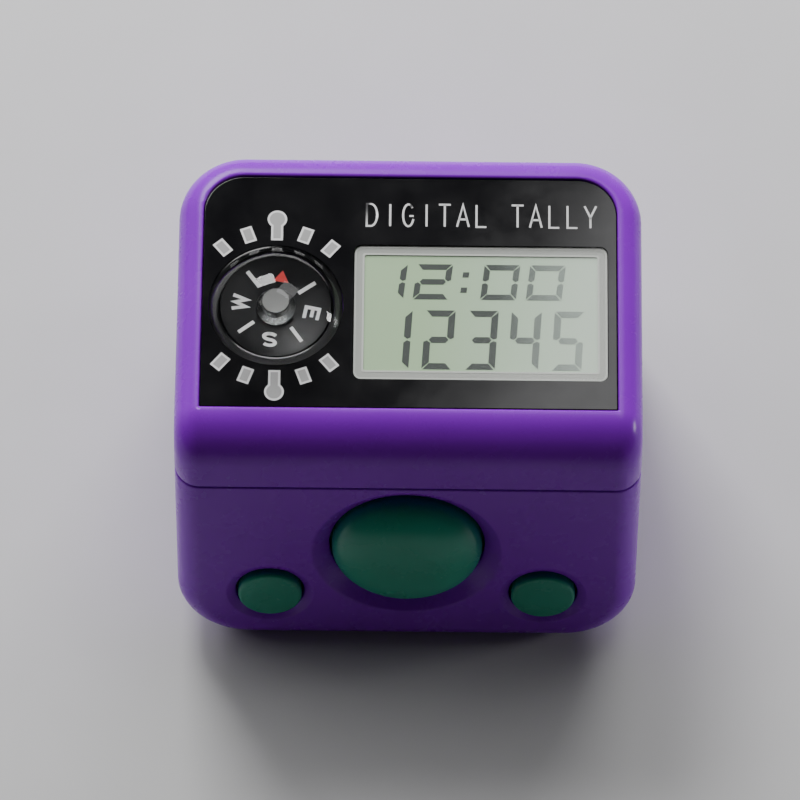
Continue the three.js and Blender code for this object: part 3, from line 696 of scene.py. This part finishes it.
def button_hole(place, cap_radius, recess_radius, recess_depth, lip):
    """Cuts a round hole with a conical recess and a softened lip into the front face."""
    radius = cap_radius + BUTTON_CLEARANCE
    wide = recess_radius + 2.5
    profile = [
        (0, -9), (radius, -9), (radius, -recess_depth, 0.15), (recess_radius, 0.0, lip),
        (wide, 0.0), (wide, 4), (0, 4),
    ]
    return cutter("hole", lathe_parts(rounded_profile(profile, 6), 128, front_frame(place)))


def upper_case():
    low = SEAM_Z + SEAM_GAP / 2
    case = case_block("case_top", EDGE_R, low=low, eased=low)
    inside = case_block("inside", EDGE_R - WALL, low=low - 2, high=ROOF_Z)
    recess = cutter("recess", plate_parts(panel_outline, PANEL_LIP))
    well = round_cutter("well", CUP_R + CUP_CLEARANCE, 19, HEIGHT, at(COMPASS_X, COMPASS_Y))
    width, depth = LCD_WIDTH + 2 * LCD_CLEARANCE, LCD_DEPTH + 2 * LCD_CLEARANCE
    opening_outline = rectangle_outline(WINDOW_X, WINDOW_Y, width, depth, 0.3, 4)
    opening = cutter("opening", rings_to_solid([outline_ring(opening_outline, z) for z in (19, HEIGHT)]))
    cut(case, inside, recess, well, opening)
    shade(case, 32)
    weigh_normals(case)
    return place_on(case, "case", "upper_case", slot="purple_plastic")


def lower_case():
    high = SEAM_Z - SEAM_GAP / 2
    case = case_block("case_bottom", EDGE_R, high=high, eased=high)
    inside = case_block("inside", EDGE_R - WALL, high=high + 3)
    cut(case, inside)
    holes = [
        button_hole(MAIN_PLACE, MAIN_CAP_R, MAIN_RECESS_R, MAIN_RECESS_DEPTH, MAIN_LIP),
        button_hole(LEFT_PLACE, SIDE_CAP_R, SIDE_RECESS_R, SIDE_RECESS_DEPTH, SIDE_LIP),
        button_hole(RIGHT_PLACE, SIDE_CAP_R, SIDE_RECESS_R, SIDE_RECESS_DEPTH, SIDE_LIP),
    ]
    door_r, ledge_r, ledge_z = DOOR_R + DOOR_CLEARANCE, 7.0, 0.9
    door_profile = [(0, BELOW), (door_r, BELOW), (door_r, ledge_z), (ledge_r, ledge_z), (ledge_r, 3), (0, 3)]
    door_hole = cutter("door_hole", lathe_parts(door_profile, 96, at(0, DOOR_Y)))
    screw_places = [at(side * SCREW_X, SCREW_Y) for side in (-1, 1)]
    screw_holes = [round_cutter("screw_hole", SCREW_HOLE_R, BELOW, 3, place, 64) for place in screw_places]
    cut(case, *holes, door_hole, *screw_holes)
    shade(case, 32)
    weigh_normals(case)
    return place_on(case, "case", "lower_case", slot="purple_plastic")


# ---------------------------------------------------------------- face panel, display and printing


def face_panel():
    low, high = PANEL_TOP - PANEL_THICK, PANEL_TOP
    levels = [(low, -0.02), (high - 0.08, -0.02), (high - 0.03, -0.04), (high, -0.1)]
    points, faces = plate_parts(panel_outline, levels)
    panel = add_mesh("front_panel", points, faces, PANEL_BLACK)
    window = rectangle_outline(WINDOW_X, WINDOW_Y, WINDOW_WIDTH + 0.06, WINDOW_DEPTH + 0.06, WINDOW_CORNER)
    window_hole = cutter("window_hole", rings_to_solid([outline_ring(window, z) for z in (20, ABOVE)]))
    compass_hole = round_cutter("compass_hole", DOME_R + 0.06, 20, ABOVE, at(COMPASS_X, COMPASS_Y), 128)
    cut(panel, window_hole, compass_hole)
    shade(panel, 30)
    weigh_normals(panel)
    return place_on(panel, "case", "face_panel", slot="black_gloss")


def window_outline(grow):
    corner = max(WINDOW_CORNER + grow, 0.2)
    return rectangle_outline(WINDOW_X, WINDOW_Y, WINDOW_WIDTH + 2 * grow, WINDOW_DEPTH + 2 * grow, corner)


def display_window():
    low, high = DISPLAY_Z + WINDOW_ABOVE_DISPLAY, PANEL_TOP
    levels = [(low, 0), (high - 0.06, 0), (high - 0.02, -0.02), (high, -0.06)]
    points, faces = plate_parts(window_outline, levels)
    window = add_mesh("window", points, faces, WINDOW_CLEAR, 10)
    window.data.materials.append(WINDOW_EDGE)
    for face in window.data.polygons:
        if face.normal.z < 0.5:
            face.material_index = 1
    place_on(window, "case", "display_window", slot="clear_plastic")


# The printed border under the window. Each piece's name, how far its outer and inner edges lie inside the
# window's edge, its lower and upper heights above the display, and its material.
WINDOW_BORDERS = [
    ("window_border", 0.03, 0.84, 0.04, 0.06, BORDER_GREY),
    ("window_border_outer_line", 0.03, 0.20, 0.065, 0.075, BORDER_LIGHT),
    ("window_border_inner_line", 0.68, 0.84, 0.065, 0.075, BORDER_LIGHT),
]


def window_borders():
    for name, outer, inner, low, high, material in WINDOW_BORDERS:
        corners = [(outer, low), (outer, high), (inner, high), (inner, low)]
        rings = [outline_ring(window_outline(-inset), DISPLAY_Z + z) for inset, z in corners]
        points, faces = rings_to_solid(rings, tube=True)
        place_on(add_mesh(name, points, faces, material), "case")


def flat_piece(name, polygons, z, thick, material, body, matrix=Matrix.Identity(4)):
    """Thin printed shapes: each polygon is raised from z by thick."""
    points, faces = [], []
    for polygon in polygons:
        start = len(points)
        count = len(polygon)
        points.extend(matrix @ Vector((x, y, z)) for x, y in polygon)
        points.extend(matrix @ Vector((x, y, z + thick)) for x, y in polygon)
        faces.append(tuple(range(start + count - 1, start - 1, -1)))
        faces.append(tuple(range(start + count, start + 2 * count)))
        for k in range(count):
            after = (k + 1) % count
            faces.append((start + k, start + after, start + count + after, start + count + k))
    return place_on(add_mesh(name, points, faces, material, 20), body)


def stroke(path, width):
    """A ribbon polygon of even width along a path, with mitred corners."""
    nodes = [Vector(p) for p in path]
    closed = (nodes[0] - nodes[-1]).length < 1e-6
    if closed:
        nodes = nodes[:-1]
    left, right = [], []
    for i, node in enumerate(nodes):
        before = nodes[i - 1] if (i > 0 or closed) else None
        after = nodes[(i + 1) % len(nodes)] if (i < len(nodes) - 1 or closed) else None
        into = (node - before).normalized() if before is not None else (after - node).normalized()
        out = (after - node).normalized() if after is not None else into
        side_in = Vector((-into.y, into.x))
        side_out = Vector((-out.y, out.x))
        mitre = (side_in + side_out).normalized()
        reach = width / 2 / max(mitre.dot(side_in), 0.35)
        left.append(node + mitre * reach)
        right.append(node - mitre * reach)
    if closed:
        quads = []
        for i in range(len(nodes)):
            j = (i + 1) % len(nodes)
            quads.append([right[i], right[j], left[j], left[i]])
        return quads
    return [[right[i], right[i + 1], left[i + 1], left[i]] for i in range(len(nodes) - 1)]


def arc(cx, cy, rx, ry, start, end, steps=8):
    return [
        (cx + rx * math.cos(math.radians(start + (end - start) * k / steps)),
         cy + ry * math.sin(math.radians(start + (end - start) * k / steps)))
        for k in range(steps + 1)
    ]


S_CURVE = (
    arc(0.5, 0.74, 0.42, 0.26, 35, 180, 8)
    + arc(0.5, 0.74, 0.42, 0.24, 195, 255, 4)
    + arc(0.5, 0.26, 0.44, 0.24, 75, 0, 4)
    + arc(0.5, 0.26, 0.44, 0.26, -15, -148, 8)
)

# Each letter is a list of strokes in a box one unit wide and one unit high.
LETTERS = {
    "A": [[(0.02, 0), (0.5, 1), (0.98, 0)], [(0.2, 0.34), (0.8, 0.34)]],
    "D": [[(0.08, 0), (0.08, 1), (0.42, 1)] + arc(0.42, 0.5, 0.5, 0.5, 80, -80) + [(0.42, 0), (0.08, 0)]],
    "E": [[(0.92, 1), (0.1, 1), (0.1, 0), (0.92, 0)], [(0.1, 0.52), (0.78, 0.52)]],
    "G": [arc(0.5, 0.5, 0.43, 0.5, 42, 340, 16), [(0.58, 0.47), (0.93, 0.47)]],
    "I": [[(0.5, 0), (0.5, 1)]],
    "L": [[(0.12, 1), (0.12, 0), (0.92, 0)]],
    "S": [S_CURVE],
    "T": [[(0.02, 1), (0.98, 1)], [(0.5, 1), (0.5, 0)]],
    "W": [[(0.0, 1), (0.25, 0), (0.5, 0.8), (0.75, 0), (1.0, 1)]],
    "Y": [[(0.03, 1), (0.5, 0.48), (0.97, 1)], [(0.5, 0.48), (0.5, 0)]],
}


def letter_strokes(letter, x, y, width, height, thick):
    quads = []
    for path in LETTERS[letter]:
        quads.extend(stroke([(x + px * width, y + py * height) for px, py in path], thick))
    return quads


def print_label():
    y = PANEL_Y - PANEL_DEPTH / 2 + LABEL_UP
    pitch = LABEL_LENGTH / len(LABEL)
    start = WINDOW_X - LABEL_LENGTH / 2
    quads = []
    for i, letter in enumerate(LABEL):
        if letter != " ":
            x = start + (i + LETTER_START) * pitch
            quads.extend(letter_strokes(letter, x, y, pitch * LETTER_WIDTH, LABEL_HEIGHT, LABEL_STROKE))
    flat_piece("panel_label", quads, PANEL_TOP + INK_LIFT, 0.012, WHITE_INK, "case")


def mark_bar(rim):
    reach, half = BAR_LENGTH / 2 - rim, BAR_WIDTH / 2 - rim
    return [(MARK_R - reach, -half), (MARK_R + reach, -half), (MARK_R + reach, half), (MARK_R - reach, half)]


def mark_keyhole(rim):
    radius = KEYHOLE_HEAD_R - rim
    half = KEYHOLE_STEM / 2 - rim
    opening = math.degrees(math.asin(half / radius))
    head = arc(KEYHOLE_HEAD, 0, radius, radius, -180 + opening, 180 - opening, 28)
    return [(KEYHOLE_FOOT + rim, -half), *head, (KEYHOLE_FOOT + rim, half)]


def bezel_marks():
    """Printed marks round the compass: short bars, and a keyhole shape at the top and bottom."""
    light, dark = [], []
    for middle in (90, 270):
        for rim, group in ((0.0, light), (MARK_RIM, dark)):
            group += [turned_outline(mark_bar(rim), middle + offset) for offset in (-40, -20, 20, 40)]
            group.append(turned_outline(mark_keyhole(rim), middle))
    place = at(COMPASS_X, COMPASS_Y)
    flat_piece("bezel_marks", light, PANEL_TOP + INK_LIFT, 0.008, MARK_INK, "case", place)
    flat_piece("bezel_mark_cores", dark, PANEL_TOP + 0.012, 0.004, MARK_CORE, "case", place)


SEGMENTS_LIT = {"0": "abcdef", "1": "bc", "2": "abdeg", "3": "abcdg", "4": "bcfg", "5": "acdfg"}


def digit_segments(digit, x, y, style):
    """The lit segments of a digit whose lower left corner is (x, y)."""
    w, h, t, slant = style
    gap = SEGMENT_GAP
    middle = h / 2
    near, far, tip = t * 0.35, t * 0.5, gap * 0.7  # how the upright segments taper towards the middle
    upper = [(0, h - gap), (t, h - t - gap), (t, middle + far), (far, middle + tip), (0, middle + near)]
    lower = [(0, gap), (0, middle - near), (far, middle - tip), (t, middle - far), (t, t + gap)]
    half_bar = [(t * 0.6 + gap, middle), (t + gap, middle - t / 2), (w - t - gap, middle - t / 2)]
    other_half = [(w - t * 0.6 - gap, middle), (w - t - gap, middle + t / 2), (t + gap, middle + t / 2)]
    shapes = {
        "a": [(gap, h), (w - gap, h), (w - t, h - t), (t, h - t)],
        "b": [(w - px, py) for px, py in upper],
        "c": [(w - px, py) for px, py in lower],
        "d": [(gap, 0), (t, t), (w - t, t), (w - gap, 0)],
        "e": lower,
        "f": upper,
        "g": half_bar + other_half,
    }
    return [[(x + px + slant * py, y + py) for px, py in shapes[s]] for s in SEGMENTS_LIT[digit]]


def display_digits():
    """The lit segments: a time above a five-digit count."""
    shapes = []
    for digit, x in TIME_DIGITS:
        shapes += digit_segments(digit, WINDOW_X + x, WINDOW_Y + TIME_Y, TIME_STYLE)
    for x, y in COLON_DOTS:
        shapes.append([(WINDOW_X + x + px, WINDOW_Y + y + py) for px, py in DOT_OUTLINE])
    for i, digit in enumerate(COUNT_DIGITS):
        shapes += digit_segments(digit, WINDOW_X + COUNT_X + COUNT_PITCH * i, WINDOW_Y + COUNT_Y, COUNT_STYLE)
    flat_piece("display_digits", shapes, DISPLAY_Z + 0.004, 0.01, SEGMENT, "case")


def display_face():
    outline = rectangle_outline(WINDOW_X, WINDOW_Y, LCD_WIDTH, LCD_DEPTH, 0.1, 2)
    points, faces = rings_to_solid([outline_ring(outline, z) for z in (LCD_TOP - LCD_GLASS, LCD_TOP)])
    place_on(add_mesh("display_glass", points, faces, DISPLAY), "case", "lcd_front_glass", slot="lcd_glass")
    width, depth = WINDOW_WIDTH - 2 * POLARISER_INSET, WINDOW_DEPTH - 2 * POLARISER_INSET
    outline = rectangle_outline(WINDOW_X, WINDOW_Y, width, depth, 0.2, 4)
    points, faces = rings_to_solid([outline_ring(outline, z) for z in (LCD_TOP + 0.02, DISPLAY_Z)])
    place_on(add_mesh("display_polariser", points, faces, DISPLAY), "case")


# ---------------------------------------------------------------- compass


def dome_arc(steps):
    """The bubble's outside, from its rim to its top."""
    radius = (DOME_R**2 + DOME_RISE**2) / (2 * DOME_RISE)
    centre = PANEL_TOP + DOME_RISE - radius
    opening = math.asin(DOME_R / radius)
    return [
        (radius * math.sin(opening * (1 - k / steps)), centre + radius * math.cos(opening * (1 - k / steps)))
        for k in range(steps + 1)
    ]


def compass_bubble(place):
    """The dome and the liquid in it, as one clear solid."""
    liquid_r = CUP_R - CUP_WALL - 0.06
    foot = PANEL_FLOOR + 0.31
    profile = [(0, LIQUID_UNDER), (liquid_r, LIQUID_UNDER), (liquid_r, foot), (DOME_R, foot)] + dome_arc(28)
    bubble = turned("compass_bubble", profile, CLEAR, place, 128)
    place_on(bubble, "case", "compass_dome", slot="clear_plastic")


def compass_bowl(place):
    rim, inner = PANEL_FLOOR + 0.05, CUP_R - CUP_WALL
    profile = [
        (0, CUP_UNDER), (CUP_R, CUP_UNDER), (CUP_R, rim), (DOME_R, rim), (DOME_R, rim + 0.2),
        (inner, rim + 0.2), (inner, CUP_UNDER + CUP_BASE), (0, CUP_UNDER + CUP_BASE),
    ]
    place_on(turned("compass_bowl", profile, BLACK, place), "case", "compass_cup", slot="black_plastic")


def compass_card(place):
    """The card with its printing: three letters, four bars between them and a red pointer."""
    inner = [(CARD_BORE_R, CARD_UNDER)]
    profile = inner + [(CARD_R, CARD_UNDER), (CARD_R, CARD_TOP, 0.06), (CARD_BORE_R, CARD_TOP)] + inner
    card = turned("compass_card_disc", rounded_profile(profile, 3), CARD_BLACK, place)
    place_on(card, "compass_card", "compass_dial", slot="black_plastic")

    printed = []
    for letter, bearing in (("E", 90), ("S", 180), ("W", 270)):
        quads = letter_strokes(letter, -0.5, 2.0, 1.0, 0.95, 0.25)
        printed += [turned_outline(quad, -bearing - HEADING) for quad in quads]
    bar = [(-0.13, 1.8), (0.13, 1.8), (0.13, 3.2), (-0.13, 3.2)]
    printed += [turned_outline(bar, -bearing - HEADING) for bearing in (45, 135, 225, 315)]
    flat_piece("compass_card_print", printed, CARD_TOP + INK_LIFT, 0.01, CARD_INK, "compass_card", place)
    pointer = turned_outline([(-0.5, 1.85), (0.5, 1.85), (0.0, 2.65)], -HEADING)
    flat_piece("compass_pointer", [pointer], CARD_TOP + 0.015, 0.03, RED_INK, "compass_card", place)


def compass_hub(place):
    profile = [
        (0, HUB_UNDER), (1.35, HUB_UNDER, 0.08), (1.3, 25.05, 0.1), (1.0, 25.9, 0.06), (0.9, HUB_TOP),
        (0, HUB_TOP),
    ]
    hub = turned("compass_cap", rounded_profile(profile), HUB_CLEAR, place, 64)
    place_on(hub, "compass_card", "compass_hub", slot="clear_plastic")
    low, high, radius = HUB_TOP + 0.01, HUB_TOP + 0.03, 0.93
    profile = [(0, low), (radius, low), (radius, high), (0, high)]
    disc = turned("compass_cap_top", profile, HUB_GREY, place, 48)
    place_on(disc, "compass_card")


def compass():
    place = at(COMPASS_X, COMPASS_Y)
    compass_bubble(place)
    compass_bowl(place)
    compass_card(place)
    compass_hub(place)


# ---------------------------------------------------------------- push buttons


def main_button():
    """The large cap: its crown is a flat-topped dome whose shoulder falls away steeply."""
    profile = [
        (0, CAP_FOOT), (MAIN_FLANGE_R, CAP_FOOT), (MAIN_FLANGE_R, -2.5),
        (MAIN_CAP_R, -2.5), (MAIN_CAP_R, MAIN_RIM),
    ]
    steps = 40
    for k in range(steps - 1, 0, -1):
        r = MAIN_CAP_R * math.sin(math.pi / 2 * k / steps)
        profile.append((r, MAIN_RIM + (MAIN_CROWN - MAIN_RIM) * math.sqrt(1 - (r / MAIN_CAP_R) ** 2.6)))
    profile.append((0, MAIN_CROWN))
    cap = turned("count_button", profile, GREEN, front_frame(MAIN_PLACE), 128)
    place_on(cap, "main_button", "main_button_cap", slot="green_plastic")


def side_button(label, place):
    profile = [
        (0, CAP_FOOT), (2, CAP_FOOT), (2, -2.2), (SIDE_FLANGE_R, -2.2), (SIDE_FLANGE_R, -1.5),
        (SIDE_CAP_R, -1.5), (SIDE_CAP_R, 0.24, 0.3), (1.4, 0.31, 1.0), (0, SIDE_CROWN),
    ]
    cap = turned(label + "_side_button", rounded_profile(profile, 8), GREEN, front_frame(place))
    place_on(cap, label + "_button", label + "_button_cap", slot="green_plastic")


# ---------------------------------------------------------------- underside


def battery_door():
    """The door, with its coin slot and the spigot that fills its opening."""
    profile = [
        (0, DOOR_UNDER), (DOOR_R, DOOR_UNDER, 0.15), (DOOR_R, DOOR_FLANGE_TOP),
        (DOOR_SPIGOT_R, DOOR_FLANGE_TOP), (DOOR_SPIGOT_R, DOOR_TOP), (0, DOOR_TOP),
    ]
    door = turned("coin_door", rounded_profile(profile, 5), PURPLE, at(0, DOOR_Y), 128)
    end_radius = COIN_SLOT_WIDTH / 2 - 0.01
    slot_outline = rectangle_outline(0, DOOR_Y, COIN_SLOT_LENGTH, COIN_SLOT_WIDTH, end_radius, 8)
    slot = cutter("slot", rings_to_solid([outline_ring(slot_outline, z) for z in (BELOW, DOOR_FLANGE_TOP)]))
    cut(door, slot)
    shade(door, 32)
    weigh_normals(door)
    place_on(door, "battery_door", "battery_door", slot="purple_plastic")


# ---------------------------------------------------------------- hidden parts


def rubber_dome(label, place, foot_r, head_r):
    """The hollow dome under a button. The real one squashes as the button goes in; this piece keeps its full
    height.
    """
    foot, head, wall = KEY_FOOT, KEY_HEAD, KEY_WALL
    profile = [
        (foot_r - 1.4, foot), (foot_r, foot), (foot_r, foot + 0.5), (head_r + 0.3, foot + 0.9),
        (head_r, foot + 1.4), (head_r, head), (0, head), (0, head - wall), (head_r - wall, head - wall),
        (head_r - wall, foot + 1.2), (foot_r - 1.4, foot),
    ]
    matrix = front_frame(place)
    dome = turned("key_dome_" + label, profile, SILICONE, matrix, 64)
    place_on(dome, "case", "rubber_dome_" + label, slot="silicone")
    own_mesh(dome)


NODE_FINISH = {
    "panel_tape": TAPE,
    "lcd_rear_glass": DISPLAY,
    "lcd_reflector": FOIL,
    "lcd_holder": WHITE_PLASTIC,
    "zebra_strip_front": ELASTOMER,
    "zebra_strip_rear": ELASTOMER,
    "main_board": BOARD_GREEN,
    "chip_blob": EPOXY,
    "crystal_can": STEEL,
    "board_capacitor_1": BRASS,
    "board_capacitor_2": BRASS,
    "button_board": BOARD_GREEN,
    "ribbon_cable": RIBBON,
    "button_cell": STEEL,
    "contact_positive": BRASS,
    "contact_negative": BRASS,
    "battery_wire_red": RED_WIRE,
    "battery_wire_black": BLACK_WIRE,
    "case_screw_left": STEEL,
    "case_screw_right": STEEL,
    "board_screw_left": STEEL,
    "board_screw_right": STEEL,
    "contact_pill_main": CARBON,
    "contact_pill_left": CARBON,
    "contact_pill_right": CARBON,
    "compass_pivot": STEEL,
    "compass_magnet": STEEL,
}


def finish_hidden_parts():
    for name, material in NODE_FINISH.items():
        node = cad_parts[name]
        node.data.materials.clear()
        node.data.materials.append(material)


# ---------------------------------------------------------------- studio and camera


# Each light's name, azimuth and elevation in degrees, size in metres, power in watts, and whether it shows
# in reflections: the two wide ones don't, because they would wash out the plastic. Azimuth 180 is behind.
STUDIO_LIGHTS = [
    ("key", 161, 46, (0.17, 0.15), 1.6, True),
    ("rear_soft", 180, 19, (0.60, 0.20), 4.6, False),
    ("left_soft", 116, 24, (0.40, 0.30), 0.9, False),
    ("right_low", 264, 9, (0.09, 0.07), 0.5, True),
    ("panel_glow", 210, 61, (0.20, 0.20), 0.40, True),
]
LIGHT_DISTANCE = 0.5
LIGHT_AIM = Vector((0, 0, 0.018))
FLOOR_HALF = 900
AIR_STRENGTH = 0.03

CAMERA_LENS, CAMERA_SENSOR = 300, 36
CAMERA_ELEVATION, CAMERA_ROLL = 63, 0.6
CAMERA_DISTANCE = 0.55
CAMERA_AIM = Vector((-0.0007, -0.0017, 0.0159))


def soft_light(name, azimuth, elevation, size, power):
    light = bpy.data.lights.new(name, "AREA")
    light.shape = "RECTANGLE"
    light.size, light.size_y = size
    light.energy = power
    lamp = bpy.data.objects.new(name, light)
    bpy.context.scene.collection.objects.link(lamp)
    turn, rise = math.radians(azimuth), math.radians(elevation)
    outward = Vector((-math.sin(turn) * math.cos(rise), -math.cos(turn) * math.cos(rise), math.sin(rise)))
    lamp.location = LIGHT_AIM + LIGHT_DISTANCE * outward
    lamp.rotation_euler = (-outward).to_track_quat("-Z", "Y").to_euler()
    return lamp


def studio():
    half = FLOOR_HALF
    paper = moulded_plastic("floor_paper", (0.62, 0.62, 0.62), (0.64, 0.64, 0.64), 0.7)
    corners = [(-half, -half, 0), (half, -half, 0), (half, half, 0), (-half, half, 0)]
    add_mesh("floor", corners, [(0, 1, 2, 3)], paper)
    for name, azimuth, elevation, size, power, in_reflections in STUDIO_LIGHTS:
        soft_light(name, azimuth, elevation, size, power).visible_glossy = in_reflections
    world = bpy.data.worlds.new("studio_air")
    world.use_nodes = True
    background = world.node_tree.nodes["Background"]
    background.inputs["Color"].default_value = (1, 1, 1, 1)
    background.inputs["Strength"].default_value = AIR_STRENGTH
    bpy.context.scene.world = world


def camera():
    data = bpy.data.cameras.new("camera")
    data.lens = CAMERA_LENS
    data.sensor_width = CAMERA_SENSOR
    view = bpy.data.objects.new("camera", data)
    bpy.context.scene.collection.objects.link(view)
    elevation = math.radians(CAMERA_ELEVATION)
    outward = Vector((0, -math.cos(elevation), math.sin(elevation)))
    view.location = CAMERA_AIM + outward * CAMERA_DISTANCE
    roll = Matrix.Rotation(math.radians(CAMERA_ROLL), 3, outward)
    facing = (-outward).to_track_quat("-Z", "Y").to_matrix()
    view.rotation_euler = (roll @ facing).to_euler()
    bpy.context.scene.camera = view


upper_case()
lower_case()
face_panel()
display_window()
window_borders()
display_face()
display_digits()
print_label()
bezel_marks()
compass()
main_button()
side_button("left", LEFT_PLACE)
side_button("right", RIGHT_PLACE)
battery_door()
rubber_dome("main", MAIN_PLACE, 6.4, 3.6)
rubber_dome("left", LEFT_PLACE, 3.2, 1.9)
rubber_dome("right", RIGHT_PLACE, 3.2, 1.9)
finish_hidden_parts()
studio()
camera()
